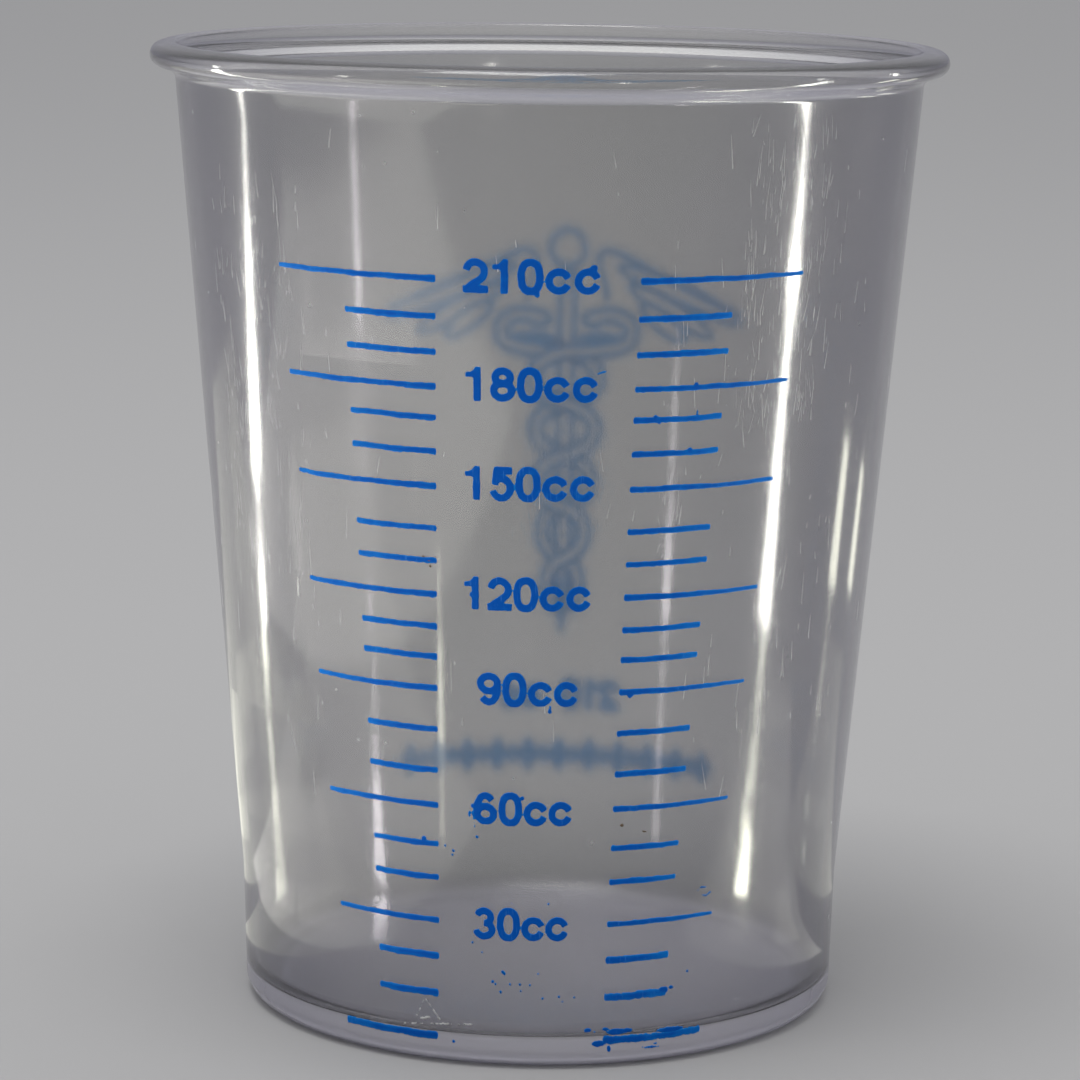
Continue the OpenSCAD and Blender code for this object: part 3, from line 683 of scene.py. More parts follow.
# %% Strips for the scale
line_w, low_line_w, base_line_w = 0.58, 0.68, 0.72
gap_angle = 15.3
long_angle, long_growth = 34.6, 0.12
short_angle, short_growth = 27.0, 0.05
short_shares = [(0.37, 0.69), (0.37, 0.66), (0.3, 0.65), (0.34, 0.66), (0.31, 0.61), (0.35, 0.69),
                (0.32, 0.65)]
smile_h = 0.12
long_tips, short_tip, worn_tip, base_tip = {-1: 0.78, 1: 0.6}, 0.95, 1.15, 0.95
clean_edge, worn_edge, smeared_edge = 0.26, 0.4, 0.45


def strip(place_from, place_to, thickness, chance, tip, ragged, smile=0.0):
    """One strip between two places on the wall, each a turn in radians and a height in millimetres."""
    return dict(turn_from=place_from[0], turn_to=place_to[0],
                height_from=place_from[1] * MM, height_to=place_to[1] * MM,
                radius=wall_r(place_from[1]) * MM, thickness=thickness * MM,
                tip=tip, smile=smile * MM, ragged=ragged, chance=chance)


def scale_line(z, side, angle, growth, thickness, chance, tip, ragged=clean_edge):
    """A strip from the gap in the middle of the scale outwards."""
    middle = print_turn + print_lean * z
    inner, outer = side * radians(gap_angle), side * radians(angle + growth * z)
    return strip((middle + inner, z), (middle + outer, z), thickness, chance, tip, ragged, smile_h)


def strips_piece(name, facts, node=None, finish=blue_ink, slot_name="blue_ink", **sizes):
    points = bpy.data.meshes.new(name)
    points.from_pydata([(0, 0, 0)] * len(facts), [], [])
    for key in facts[0]:
        points.attributes.new(key, "FLOAT", "POINT").data.foreach_set("value", [fact[key] for fact in facts])
    piece = baked(name, points, strip_tree, Finish=finish, **sizes)
    if volume_mm3(piece.data) < 0:
        piece.data.flip_normals()
    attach(piece, "root")
    if node:
        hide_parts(node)
    return piece


print("long lines on a side:", len(long_z), "short lines:", sum(len(shares) for shares in short_shares))

# %% [markdown]
# Each kind of line on each side is one piece, as in the CAD. The lowest short line on the right is
# worn, so its edge is rougher and its tip swells, and the base line on the right is smeared.

# %% Scale line pieces
line_heights = [base_line_z] + list(long_z.values())
for side, side_name in ((-1, "left"), (1, "right")):
    long_facts = [scale_line(z, side, long_angle, long_growth, line_w, 10 * i + side, long_tips[side])
                  for i, z in enumerate(long_z.values())]
    strips_piece(side_name + "_long_line_ink", long_facts, side_name + "_long_lines")
    short_facts = []
    for i, shares in enumerate(short_shares):
        for j, part in enumerate(shares):
            z = line_heights[i] + (line_heights[i + 1] - line_heights[i]) * part
            tip, ragged = (worn_tip, worn_edge) if (side, i, j) == (1, 0, 0) else (short_tip, clean_edge)
            short_facts.append(scale_line(z, side, short_angle, short_growth, low_line_w if i == 0 else line_w,
                                          100 + 7 * i + j + side / 3, tip, ragged))
    strips_piece(side_name + "_short_line_ink", short_facts, side_name + "_short_lines")
base_facts = [scale_line(base_line_z, side, long_angle, long_growth, base_line_w, 200 + side, base_tip, ragged)
              for side, ragged in ((-1, clean_edge), (1, smeared_edge))]
base_ink = strips_piece("base_line_ink", base_facts, "base_lines")
print("faces of the base lines:", len(base_ink.data.polygons))

# %% [markdown]
# ## Ink that spreads
#
# Printed numerals are not sharp polygons. Ink creeps outwards, rounds every corner and fills the
# sharp inner ones. A distance field does this naturally: each point of a fine grid holds how deep
# it lies inside the drawing, the field is blurred and a little noise is added, and the ink is
# wherever the result is above zero. So a mark is simply a function that gives that depth, and marks
# are joined, cut and moved by joining, cutting and moving their functions.

# %% Distance fields


def filled(outline):
    """A mark for the inside of a closed outline."""
    outline = np.asarray(outline, float)

    def depth(x, y):
        nearest = np.full(x.shape, 1e9)
        windings = np.zeros(x.shape, int)
        for (ax, ay), (bx, by) in zip(outline, np.roll(outline, -1, axis=0)):
            ex, ey = bx - ax, by - ay
            px, py = x - ax, y - ay
            t = np.clip((px * ex + py * ey) / max(ex * ex + ey * ey, 1e-12), 0, 1)
            nearest = np.minimum(nearest, np.hypot(px - t * ex, py - t * ey))
            if ey != 0:
                crossed = ((ay > y) != (by > y)) & (px < py * ex / ey)
                windings += np.where(crossed, 1 if ey > 0 else -1, 0)
        return np.where(windings != 0, nearest, -nearest)

    return depth


def trail(points, width):
    """A mark of one width with round ends along a path."""
    points = np.asarray(points, float)

    def depth(x, y):
        nearest = np.full(x.shape, 1e9)
        for (ax, ay), (bx, by) in zip(points, points[1:]):
            ex, ey = bx - ax, by - ay
            t = np.clip(((x - ax) * ex + (y - ay) * ey) / max(ex * ex + ey * ey, 1e-12), 0, 1)
            nearest = np.minimum(nearest, np.hypot(x - ax - t * ex, y - ay - t * ey))
        return width / 2 - nearest

    return depth


def blot(x0, y0, rx, ry=None):
    """A round or oval drop."""
    ry = ry or rx
    return lambda x, y: (1 - np.hypot((x - x0) / rx, (y - y0) / ry)) * min(rx, ry)


def joined(*marks):
    return lambda x, y: np.maximum.reduce([mark(x, y) for mark in marks])


def without(mark, *cuts):
    return lambda x, y: np.minimum(mark(x, y), -joined(*cuts)(x, y))


def moved(mark, dx, dy, wide=1.0):
    return lambda x, y: mark((x - dx) / wide, y - dy)


def mirrored(mark):
    return lambda x, y: mark(-x, y)


square = filled([[0, 0], [1, 0], [1, 1], [0, 1]])
print("depth of a point in the middle of a unit square:", square(np.array([0.5]), np.array([0.5]))[0])

# %% [markdown]
# ## From field to film
#
# Grid squares whose middle is inside become faces, twice: once as the top of the film and once as
# its underside. Both sheets share their border points, so the film is closed and thins out to
# nothing at its edge like a drop that has dried. The border is moved exactly onto the field's zero.

# %% Flat film
edge_shoulder = 0.12


def soft_noise(shape, spacing, seed):
    """Smooth random values between -1 and 1, one new value every few grid points."""
    coarse = np.random.default_rng(seed).uniform(-1, 1, (shape[0] // spacing + 3, shape[1] // spacing + 3))
    for axis in (0, 1):
        at = np.arange(shape[axis]) / spacing
        low = at.astype(int)
        t = at - low
        t = t * t * (3 - 2 * t)
        t = t[:, None] if axis == 0 else t[None, :]
        coarse = np.take(coarse, low, axis) * (1 - t) + np.take(coarse, low + 1, axis) * t
    return coarse


def softened(field, passes):
    for _ in range(passes):
        for axis in (0, 1):
            field = (np.roll(field, 1, axis) + 2 * field + np.roll(field, -1, axis)) / 4
    return field


def flat_film(name, mark, box, seed, cell, passes, creep, ragged):
    """A mesh of ink wherever a mark lies inside a box, which is its lowest and highest x and y."""
    nx, ny = [ceil((high - low) / cell) + 1 for low, high in zip(box[:2], box[2:])]
    x, y = np.meshgrid(box[0] + cell * np.arange(nx), box[1] + cell * np.arange(ny), indexing="ij")
    field = softened(np.clip(mark(x, y), -1, 1), passes) + creep
    field += ragged * (soft_noise(x.shape, 3, seed) + 0.8 * soft_noise(x.shape, 9, seed + 1))
    field[[0, -1], :], field[:, [0, -1]] = -1, -1
    kept = (field[:-1, :-1] + field[1:, :-1] + field[1:, 1:] + field[:-1, 1:]) > 0
    around = np.pad(kept, 1)
    touching = around[:-1, :-1].astype(int) + around[1:, :-1] + around[:-1, 1:] + around[1:, 1:]
    used, border = touching > 0, (touching > 0) & (touching < 4)
    slope_x, slope_y = np.gradient(field, cell)
    steep = np.maximum(slope_x**2 + slope_y**2, 0.2)
    move = np.where(border, np.clip(-field, -cell, cell) / steep, 0)
    px, py = x + move * slope_x, y + move * slope_y
    rise = np.clip(np.where(border, 0, field) / edge_shoulder, 0, 1)
    rise = np.sqrt(rise * (2 - rise))
    top = np.full(x.shape, -1)
    top[used] = np.arange(used.sum())
    bottom = top.copy()
    inner = used & ~border
    bottom[inner] = used.sum() + np.arange(inner.sum())
    heights = np.concatenate([film_gap + film_t * rise[used], np.full(inner.sum(), film_gap)])
    sheet_x, sheet_y = [np.concatenate([p[used], p[inner]]) for p in (px, py)]
    points = np.stack([sheet_x, sheet_y, heights], 1)
    faces = []
    for i, j in np.argwhere(kept):
        square = [(i, j), (i + 1, j), (i + 1, j + 1), (i, j + 1)]
        faces.append([int(top[c]) for c in square])
        under = [int(bottom[c]) for c in reversed(square)]
        if set(under) != set(faces[-1]):
            faces.append(under)
    mesh = bpy.data.meshes.new(name)
    mesh.from_pydata((points * MM).tolist(), [], faces)
    thickness = np.concatenate([rise[used], np.zeros(inner.sum())])
    mesh.attributes.new("ink_thickness", "FLOAT", "POINT").data.foreach_set("value", thickness)
    return mesh


print("the film is full this deep inside its edge, in mm:", edge_shoulder)

# %% [markdown]
# A second small tree lays the flat film on the wall. A point's x becomes a turn when it is divided
# by the radius that the drawing was made for, and its y is already a height.

# %% Geometry tree: rolled print
roll_tree, given, made = new_tree(
    "rolled_print", "GeometryNodeTree",
    [("Print", "NodeSocketGeometry", None), ("Turn", "NodeSocketFloat", print_turn),
     ("Drawing Radius", "NodeSocketFloat", numeral_r * MM), ("Finish", "NodeSocketMaterial", None)],
    [("Geometry", "NodeSocketGeometry")])
flat = point_place(roll_tree)
turn = maths(roll_tree, "ADD", maths(roll_tree, "DIVIDE", flat["X"], given["Drawing Radius"]), given["Turn"])
spot = add(roll_tree, "GeometryNodeGroup", node_tree=on_wall, in_Turn=turn, in_Height=flat["Y"],
           in_Film=flat["Z"]).outputs[0]
rolled = add(roll_tree, "GeometryNodeSetPosition", in_Geometry=given["Print"], in_Position=spot).outputs[0]
feed(made["Geometry"], finished(roll_tree, rolled, given["Finish"]))


def printed(name, mark, box, seed, node=None, turn=print_turn, finish=blue_ink, slot_name="blue_ink",
            cell=0.05, passes=6, creep=0.03, ragged=0.022):
    film = flat_film(name, mark, box, seed, cell, passes, creep, ragged)
    piece = baked(name, film, roll_tree, Turn=turn, Finish=finish)
    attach(piece, "root")
    if node:
        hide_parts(node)
    return piece


print("rolled_print nodes:", len(roll_tree.nodes))

# %% [markdown]
# ## Strokes and ovals
#
# Every numeral is a few strokes of one width, loops and small filled shapes. A stroke is turned
# into an outline by moving its middle line to both sides, which keeps flat, square stroke ends.

# %% Outlines
oval_steps = 28


def stroke(points, width):
    points = np.asarray(points, float)
    ahead = np.concatenate([points[1:], points[-1:]])
    behind = np.concatenate([points[:1], points[:-1]])
    heading = ahead - behind
    heading /= np.linalg.norm(heading, axis=1)[:, None]
    aside = np.stack([-heading[:, 1], heading[:, 0]], 1) * width / 2
    return np.concatenate([points - aside, (points + aside)[::-1]])


def oval(centre, rx, ry, squareness=1.0):
    a = np.linspace(0, 2 * pi, oval_steps, endpoint=False)
    c, s = np.cos(a), np.sin(a)
    x, y = rx * np.sign(c) * abs(c)**squareness, ry * np.sign(s) * abs(s)**squareness
    return np.stack([centre[0] + x, centre[1] + y], 1)


print("points round an oval:", len(oval((0, 0), 1, 1)))

# %% [markdown]
# ## The numerals
#
# The numerals are a plain grotesque: even strokes, square ends, a one with a curved flag. They are
# drawn in a box with its lower left corner at zero, so a row is only a matter of moving boxes
# along. A nine is a six turned half round. Each row ends in two letters for cubic centimetres.

# %% Nought, one and two
digit_h, digit_w, digit_pitch = 3.1, 2.3, 2.47
unit_h, unit_w, unit_pitch = 2.35, 2.36, 2.6
stroke_w = 0.64
half, mid = stroke_w / 2, digit_w / 2
digit_rx = mid - half
overshoot = 0.026 * digit_h
upper_inset = 0.056 * digit_w


def loop(x, y, rx, ry, squareness=1.0):
    outer, inner = [filled(oval((x, y), rx + grow, ry + grow, squareness)) for grow in (half, -half)]
    return without(outer, inner)


def line(points):
    return filled(stroke(points, stroke_w))


def nought():
    return loop(mid, digit_h / 2, digit_rx, digit_h / 2 - half + overshoot, 0.84)


def one():
    stem_right = digit_w - 0.3 * digit_w
    stem_left = stem_right - stroke_w
    flag_left, flag_z, flag_t = 0.1 * digit_w, 0.7 * digit_h, 0.135 * digit_h
    flag = curve((flag_left, flag_z + flag_t), (stem_left - flag_left, flag_z + flag_t),
                 (stem_left, digit_h - flag_t), (stem_left + half / 2, digit_h), 8)
    stem = [(stem_right, digit_h), (stem_right, 0), (stem_left, 0), (stem_left, flag_z), (flag_left, flag_z)]
    return filled(stem + [tuple(p) for p in flag])


def two():
    ry = 0.27 * digit_h
    top, side_x = digit_h - half - ry, digit_w - half
    bowl = arc((mid, top), digit_rx, ry, 172, 0, 12)
    spine = curve((side_x, top), (side_x, top - 0.24 * digit_h), (mid, 0.36 * digit_h), (1.13 * half, half), 8)
    foot = filled([(0, 0), (digit_w, 0), (digit_w, stroke_w), (0, stroke_w)])
    return joined(line(np.concatenate([bowl, spine[1:]])), foot)


print("width of a stroke in mm:", stroke_w)

# %% [markdown]
# The other numerals are mostly arcs and loops. Their upper bowls are a little smaller than their
# lower ones, or they would look top-heavy.

# %% Round numerals and the unit's letter


def three():
    upper = digit_h / 4 - half / 2
    lower = 1.06 * upper
    return joined(line(arc((mid, digit_h - half - upper), digit_rx - upper_inset, upper, 165, -90, 14)),
                  line(arc((mid, half + lower), digit_rx, lower, 90, -170, 16)))


def five():
    ry, left, top = 0.29 * digit_h, 0.2 * digit_w, digit_h - half
    return joined(line([(left, top), (digit_w - half / 2, top)]),
                  line([(left + half, top + half / 2), (left + half / 3, 0.46 * digit_h)]),
                  line(arc((mid, half + ry - overshoot), digit_rx, ry, 142, -165, 18)))


def six():
    ry = 0.228 * digit_h
    back = arc((mid, digit_h / 2), digit_rx, digit_h / 2 - half, 40, 180, 12)
    return joined(loop(mid, half + ry, digit_rx, ry), line(np.concatenate([back, [(half, half + ry)]])))


def eight():
    lower, upper = 0.22 * digit_h, 0.185 * digit_h
    return joined(loop(mid, half + lower, digit_rx, lower),
                  loop(mid, digit_h - half - upper, digit_rx - upper_inset, upper))


def nine():
    turned = six()
    return lambda x, y: turned(digit_w - x, digit_h - y)


def unit_letter():
    opening = 20
    rx = unit_w / (1 + cos(radians(opening - 7)))
    return line(arc((rx, unit_h / 2), rx - half, unit_h / 2 - half, opening, 360 - opening, 20))


glyphs = {"0": nought(), "1": one(), "2": two(), "3": three(), "5": five(), "6": six(), "8": eight(),
          "9": nine(), "c": unit_letter()}
print("glyphs:", "".join(glyphs))

# %% [markdown]
# ## Rows of numerals
#
# Each row stands where the printer set it: a little beside the middle of the scale and a little
# above its line. Lower rows are drawn wider, to make up for part of the cone's narrowing. A few rows
# have a slip: a blob on a letter, a drop that hangs under the 90, a run down the left of the 60.
# A slip is joined to its row before the field is blurred, so it melts into the letters as wet ink does.

# %% Numeral pieces
row_widening = 0.45
row_places = {30: (-0.2, 0.0), 60: (-0.2, 0.0), 90: (0.0, 0.25), 120: (-0.35, 0.35), 150: (-0.35, 0.5),
              180: (-0.4, 0.4), 210: (-0.55, 0.4)}
row_reach, row_below, row_above = 7.8, 2.3, 2.4


def row_mark(digits, z, middle_x, wide=1.0, space=0.0):
    """One row of numerals and its unit, in a flat drawing of the wall."""
    unit_x = len(digits) * wide * digit_pitch + space
    start = middle_x - (unit_x + unit_pitch + wide * unit_w) / 2
    places = [(digit, start + i * wide * digit_pitch) for i, digit in enumerate(digits)]
    places += [("c", start + unit_x + i * unit_pitch) for i in (0, 1)]
    return joined(*[moved(glyphs[name], x, z - digit_h / 2, wide) for name, x in places])


slips = {
    210: [blot(6.1, 75.75, 0.3, 0.24), blot(1.1, 73.35, 0.2, 0.32)],
    180: [trail([(6.7, 66.15), (7.0, 66.3), (7.5, 66.4)], 0.16)],
    120: [blot(-4.95, 45.6, 0.3, 0.26)],
    90: [blot(2.8, 34.75, 0.2), blot(2.85, 35.15, 0.12)],
    60: [blot(-5.5, 24.7, 0.12, 0.3), blot(-5.2, 25.5, 0.13, 0.2), blot(0.1, 26.4, 0.2),
         trail([(-5.2, 25.0), (-5.0, 24.2), (-4.95, 23.3)], 0.09)],
    30: [blot(-4.9, 13.3, 0.16), blot(-1.6, 12.7, 0.22, 0.16)],
}
for mark, z in long_z.items():
    shift, lift = row_places[mark]
    wide = 1 + row_widening * (numeral_r / wall_r(z) - 1)
    row = row_mark(str(mark), z + lift, shift + print_lean * z * numeral_r, wide)
    piece = printed("numeral_%d_ink" % mark, joined(row, *slips.get(mark, [])),
                    (-row_reach, z - row_below, row_reach, z + row_above), mark, "numeral_%d" % mark)
print("faces of the last numeral:", len(piece.data.polygons))

# %% [markdown]
# ## The emblem on the back
#
# Behind the scale, on the far side of the cup, stands the old sign of a winged staff with two
# bands twined round it. Each part is drawn as line work: a ribbon in outline that waves down the
# staff and ends above in a hook with a small head, and feathers side by side under a leading edge.
# The left band lies over the right one, and both lie over the staff.

# %% Emblem bands
ring_z, ring_r = 70.2, 2.15
staff_tip_z, staff_w, staff_gap, staff_taper_h, tip_w = 29.5, 2.1, 0.3, 5.0, 0.24
emblem_line_w = 0.5
band_w, band_swing, band_turns, foot_swing, roundness = 1.8, 3.7, 5, 0.42, 0.6
band_top_z, band_foot_z = ring_z - 10.9, staff_tip_z + 2.4
hook_reach, hook_rise = 7.4, 2.1
head, head_w, head_h = np.array([3.0, band_top_z + 3.5]), 2.6, 2.0


def band_path():
    t = np.linspace(0, 1, 65)
    done = np.floor(band_turns * t)
    part = band_turns * t - done
    share = (done + roundness * (1 - np.cos(pi * part)) / 2 + (1 - roundness) * part) / band_turns
    swing = band_swing * (foot_swing + (1 - foot_swing) * np.sin(pi / 2 * t))
    wave = np.stack([swing * np.sin(pi * band_turns * (t - 1)),
                     band_foot_z + (band_top_z - band_foot_z) * share], 1)
    side = np.array([hook_reach, band_top_z + hook_rise])
    out_z = band_top_z + 0.1 * hook_rise
    out = curve((0, band_top_z), (hook_reach / 2, out_z), (hook_reach, out_z), side, 8)
    back = curve(side, side + np.array([0, 0.75 * hook_rise]),
                 head + np.array([0.9 * head_w, 0.5 * head_h]), head, 8)
    return np.concatenate([wave, out[1:], back[1:]])


def band_shape(inset=0.0):
    ribbon = trail(band_path(), band_w - 2 * inset)
    return joined(lambda x, y: np.minimum(ribbon(x, y), y - band_foot_z),
                  filled(oval(head, head_w / 2 - inset, head_h / 2 - inset)))


point_top_z = band_foot_z + band_w / 2
point_w = tip_w + (staff_w - tip_w) * (point_top_z - staff_tip_z) / staff_taper_h
staff_point = filled([[-tip_w / 2, staff_tip_z], [tip_w / 2, staff_tip_z], [point_w / 2, point_top_z],
                      [-point_w / 2, point_top_z]])
shade_mid = (0.54 * hook_reach, band_top_z + 0.55 * band_w + emblem_line_w)
band = joined(without(band_shape(), band_shape(emblem_line_w), staff_point),
              filled(oval(shade_mid, 0.35 * hook_reach, emblem_line_w)))
right_band = without(band, mirrored(band_shape()))
band_reach = hook_reach + band_w
band_box = (-band_reach, band_foot_z - band_w, band_reach, ring_z)
# The back print uses the lighter ink copy, with painted backlight.
back_look = dict(turn=back_turn, finish=backlit_ink_painted, cell=0.06, passes=4, creep=0.12)
bold_look = {**back_look, "creep": 0.2}
printed("emblem_band_left_ink", mirrored(band), band_box, 301, "emblem_band_left", **back_look)
printed("emblem_band_right_ink", right_band, band_box, 302, "emblem_band_right", **back_look)
print("band points:", len(band_path()))

# %% Emblem ring, staff and wings
wing_reach, root_reach, root_drop, tip_drop = 20.8, 3.5, 5.2, 5.9
feather_w, feathers = 2.4, 3


def staff_outline(width, top, foot):
    return filled([[-tip_w / 2, foot], [tip_w / 2, foot], [width / 2, foot + staff_taper_h], [width / 2, top],
                   [-width / 2, top], [-width / 2, foot + staff_taper_h]])


side_h = root_drop - feather_w / 3
side_foot = np.array([root_reach + side_h / 5, ring_z - root_drop])
side_top = np.array([root_reach, side_foot[1] + side_h])
edge = np.concatenate([
    curve(side_foot, side_foot + (0, side_h / 2), side_top - (side_h / 8, side_h / 4), side_top, 8),
    curve(side_top, side_top + (side_h / 4, side_h / 2), (0.38 * wing_reach, ring_z - 0.46 * tip_drop),
          (0.97 * wing_reach, ring_z - tip_drop), 24)[1:]])


def feather(i, grow=0.0):
    """A long oval that hangs from the leading edge."""
    first_root = np.array([root_reach + 0.8 * feather_w, ring_z - 0.75 * feather_w])
    root = first_root + i * np.array([0.58, -0.8]) * feather_w
    angle, length = radians(-18.5 - 7 * i), wing_reach * (0.78 - 0.23 * i)
    along, aside = np.array([cos(angle), sin(angle)]), np.array([-sin(angle), cos(angle)])
    around = oval((0, 0), length / 2 + grow, feather_w / 2 + grow)
    return filled(root + length / 2 * along + around[:, :1] * along + around[:, 1:] * aside)


rings = [without(feather(i), feather(i, -emblem_line_w), *[feather(j) for j in range(i + 1, feathers)])
         for i in range(feathers)]
wing = joined(trail(edge, emblem_line_w), *rings)
wing_box = (root_reach - 1, ring_z - root_drop - wing_reach / 3, wing_reach + 1, ring_z + ring_r)
mirrored_box = (-wing_box[2], wing_box[1], -wing_box[0], wing_box[3])
staff_top_z = ring_z - ring_r - staff_gap
both_bands = joined(band_shape(), mirrored(band_shape()))
staff = joined(staff_point, without(
    staff_outline(staff_w, staff_top_z, staff_tip_z),
    staff_outline(staff_w - 2 * emblem_line_w, staff_top_z - emblem_line_w, point_top_z + emblem_line_w),
    both_bands))
ring = without(filled(oval((0, ring_z), ring_r, ring_r)),
               filled(oval((0, ring_z), ring_r - emblem_line_w, ring_r - emblem_line_w)))
box_room = 0.5
ring_box = (-ring_r - box_room, ring_z - ring_r - box_room, ring_r + box_room, ring_z + ring_r + box_room)
staff_box = (-staff_w, staff_tip_z - box_room, staff_w, staff_top_z + box_room)
printed("emblem_ring_ink", ring, ring_box, 303, "emblem_ring", **back_look)
printed("emblem_staff_ink", staff, staff_box, 304, "emblem_staff", **back_look)
printed("emblem_wing_left_ink", mirrored(wing), mirrored_box, 305, "emblem_wing_left", **back_look)
printed("emblem_wing_right_ink", wing, wing_box, 306, "emblem_wing_right", **back_look)
print("feathers on each wing:", feathers)

# %% [markdown]
# ## The lines under the emblem
#
# The cup's capacity stands under the staff in the same numerals. Below it runs a plain ornament of
# lozenges with short bars between them.

# %% Capacity and ornament
back_numeral_z, ornament_z = 23.1, 16.6
back_row_reach, back_row_rise = 9, 2.2
lozenge_h, lozenge_w, lozenges, lozenge_pitch, bar_w = 3.4, 2.7, 11, 3.9, 0.5


def lozenge(x, y):
    """Depth inside the one diamond that repeats along the row."""
    half_row = (lozenges - 1) / 2
    nearest = x - lozenge_pitch * np.clip(np.round(x / lozenge_pitch), -half_row, half_row)
    reach = np.hypot(1 / lozenge_w, 1 / lozenge_h)
    return (0.5 - abs(nearest) / lozenge_w - abs(y - ornament_z) / lozenge_h) / reach


def bar(x, y):
    """Depth inside the bar between each two lozenges."""
    last = (lozenges - 1) / 2 - 0.5
    nearest = x - lozenge_pitch * np.clip(np.round(x / lozenge_pitch - 0.5) + 0.5, -last, last)
    return np.minimum(bar_w / 2 - abs(nearest), lozenge_h / 4 - abs(y - ornament_z))


row_half = lozenges * lozenge_pitch / 2
numeral_box = (-back_row_reach, back_numeral_z - back_row_rise, back_row_reach, back_numeral_z + back_row_rise)
ornament_box = (-row_half, ornament_z - lozenge_h, row_half, ornament_z + lozenge_h)
capacity = row_mark("210", back_numeral_z, 0.0, 1.0, digit_pitch)
printed("back_numeral_ink", capacity, numeral_box, 307, "back_numeral", **bold_look)
printed("back_ornament_ink", joined(lozenge, bar), ornament_box, 308, "back_ornament", **bold_look)
print("width of the ornament in mm:", lozenge_pitch * (lozenges - 1) + lozenge_w)

# %% [markdown]
# ## Stray ink and dirt
#
# Little specks of ink that belong to no line lie around the foot of the scale, the right base line
# is smeared, and a few dark grains are stuck to the wall. They say more about how the cup was
# printed and kept than any numeral does. The dirt gets a brown finish of its own.

# %% Specks, smears and grains
specks = [(-1.9, 9.5, 0.16), (-1.7, 9.3, 0.12), (-3.0, 8.5, 0.16), (-2.7, 8.3, 0.1), (-2.1, 7.5, 0.14),
          (-1.1, 8.3, 0.13), (0.0, 8.3, 0.12), (0.1, 7.7, 0.1), (1.1, 8.3, 0.1), (2.0, 9.4, 0.08),
          (2.5, 7.0, 0.12), (4.3, 7.2, 0.12), (4.7, 6.7, 0.09), (6.0, 7.1, 0.09), (-8.2, 21.4, 0.1),
          (-7.3, 21.0, 0.16), (-7.4, 20.6, 0.12), (-4.7, 22.5, 0.14), (3.0, 16.2, 0.09), (-1.0, 16.2, 0.07),
          (-5.3, 12.2, 0.1), (-4.2, 11.3, 0.09), (19.2, 8.8, 0.12), (-7.4, 2.4, 0.16)]
smears = [(7.6, 3.85, 0.4, 0.2), (8.4, 3.7, 0.16, 0.1), (9.6, 3.9, 0.35, 0.14), (10.8, 3.6, 1.0, 0.3),
          (12.1, 3.65, 0.6, 0.22), (10.0, 1.95, 0.24, 0.34), (14.9, 1.8, 1.0, 0.12), (15.5, 2.1, 0.3, 0.1),
          (8.8, 2.5, 0.7, 0.3), (17.3, 3.3, 1.6, 0.26), (16.3, 7.3, 0.6, 0.3), (17.2, 7.45, 0.3, 0.16)]
line_blobs = [(16.2, 64.95, 0.26), (12.3, 62.05, 0.26), (12.7, 61.65, 0.2), (15.9, 58.9, 0.3),
              (11.0, 36.3, 0.36), (-10.6, 21.9, 0.3)]
hairs = [trail([(20.0, 16.6), (20.5, 16.95), (21.1, 16.8)], 0.1),
         trail([(20.6, 16.15), (21.2, 16.0), (21.7, 16.3)], 0.12), trail([(16.45, 61.9), (16.5, 62.5)], 0.16)]
stray_marks = joined(*[blot(*mark) for mark in specks + smears + line_blobs], *hairs)
stray_look = dict(passes=2, creep=0.012, ragged=0.04)
stray_boxes = {"low": (-9, 1.3, 22.5, 23), "high": (10, 35.5, 17.5, 65.6), "left": (-11.5, 21, -9.8, 22.6)}
for seed, (where, box) in enumerate(stray_boxes.items(), 401):
    printed("stray_ink_" + where, stray_marks, box, seed, **stray_look)

grain_brown, tree, shader = material("grain_brown")
mottle = cloud(tree, 6000.0, 2.0)
set_inputs(shader, Base_Color=blended(tree, mottle, (0.03, 0.02, 0.012), (0.16, 0.1, 0.05)),
           Roughness=maths(tree, "MULTIPLY_ADD", mottle, 0.3, 0.45))
dark_grains = joined(trail([(-9.9, 48.9), (-9.5, 48.55), (-8.9, 48.4)], 0.18), blot(-9.2, 48.0, 0.1),
                     blot(10.7, 23.7, 0.2, 0.16), trail([(13.0, 23.05), (13.4, 22.95)], 0.1),
                     blot(-10.2, 47.6, 0.07))
grain_boxes = {"left": (-10.6, 47.2, -8.4, 49.4), "right": (10.1, 22.5, 13.8, 24.2)}
for seed, (where, box) in enumerate(grain_boxes.items(), 404):
    printed("dark_grain_" + where, dark_grains, box, seed, finish=grain_brown, **stray_look)
print("stray marks:", len(specks) + len(smears) + len(line_blobs) + len(hairs))

# %% [markdown]
# ## Scratches and scuffs
#
# Sleeves and fingers leave fine upright scratches. They show best beside the streaks of light, and
# they are too thin for a bump map to hold at a distance, so each is a real sliver: the same strips as
# the scale's lines, stood up, a few hundredths of a millimetre wide and up to three millimetres
# long, in a paler, duller plastic. Where the cup stood against another, the scuffs are wider, and
# these are drawn as films.

# %% Scratch and scuff pieces
scuffed, tree, shader = material("scuffed_plastic")
set_inputs(shader, Transmission_Weight=0.35, IOR=1.49)
wear = wear_on(tree, 5000.0, 0.1, 0.5, 0.2)
set_inputs(shader, Base_Color=blended(tree, wear["Lines"], (0.74, 0.74, 0.74), (0.9, 0.9, 0.88)),
           Roughness=maths(tree, "MULTIPLY_ADD", wear["Lines"], 0.2, 0.38),
           Normal=bumps(tree, wear["Height"], 0.3, 0.00003))

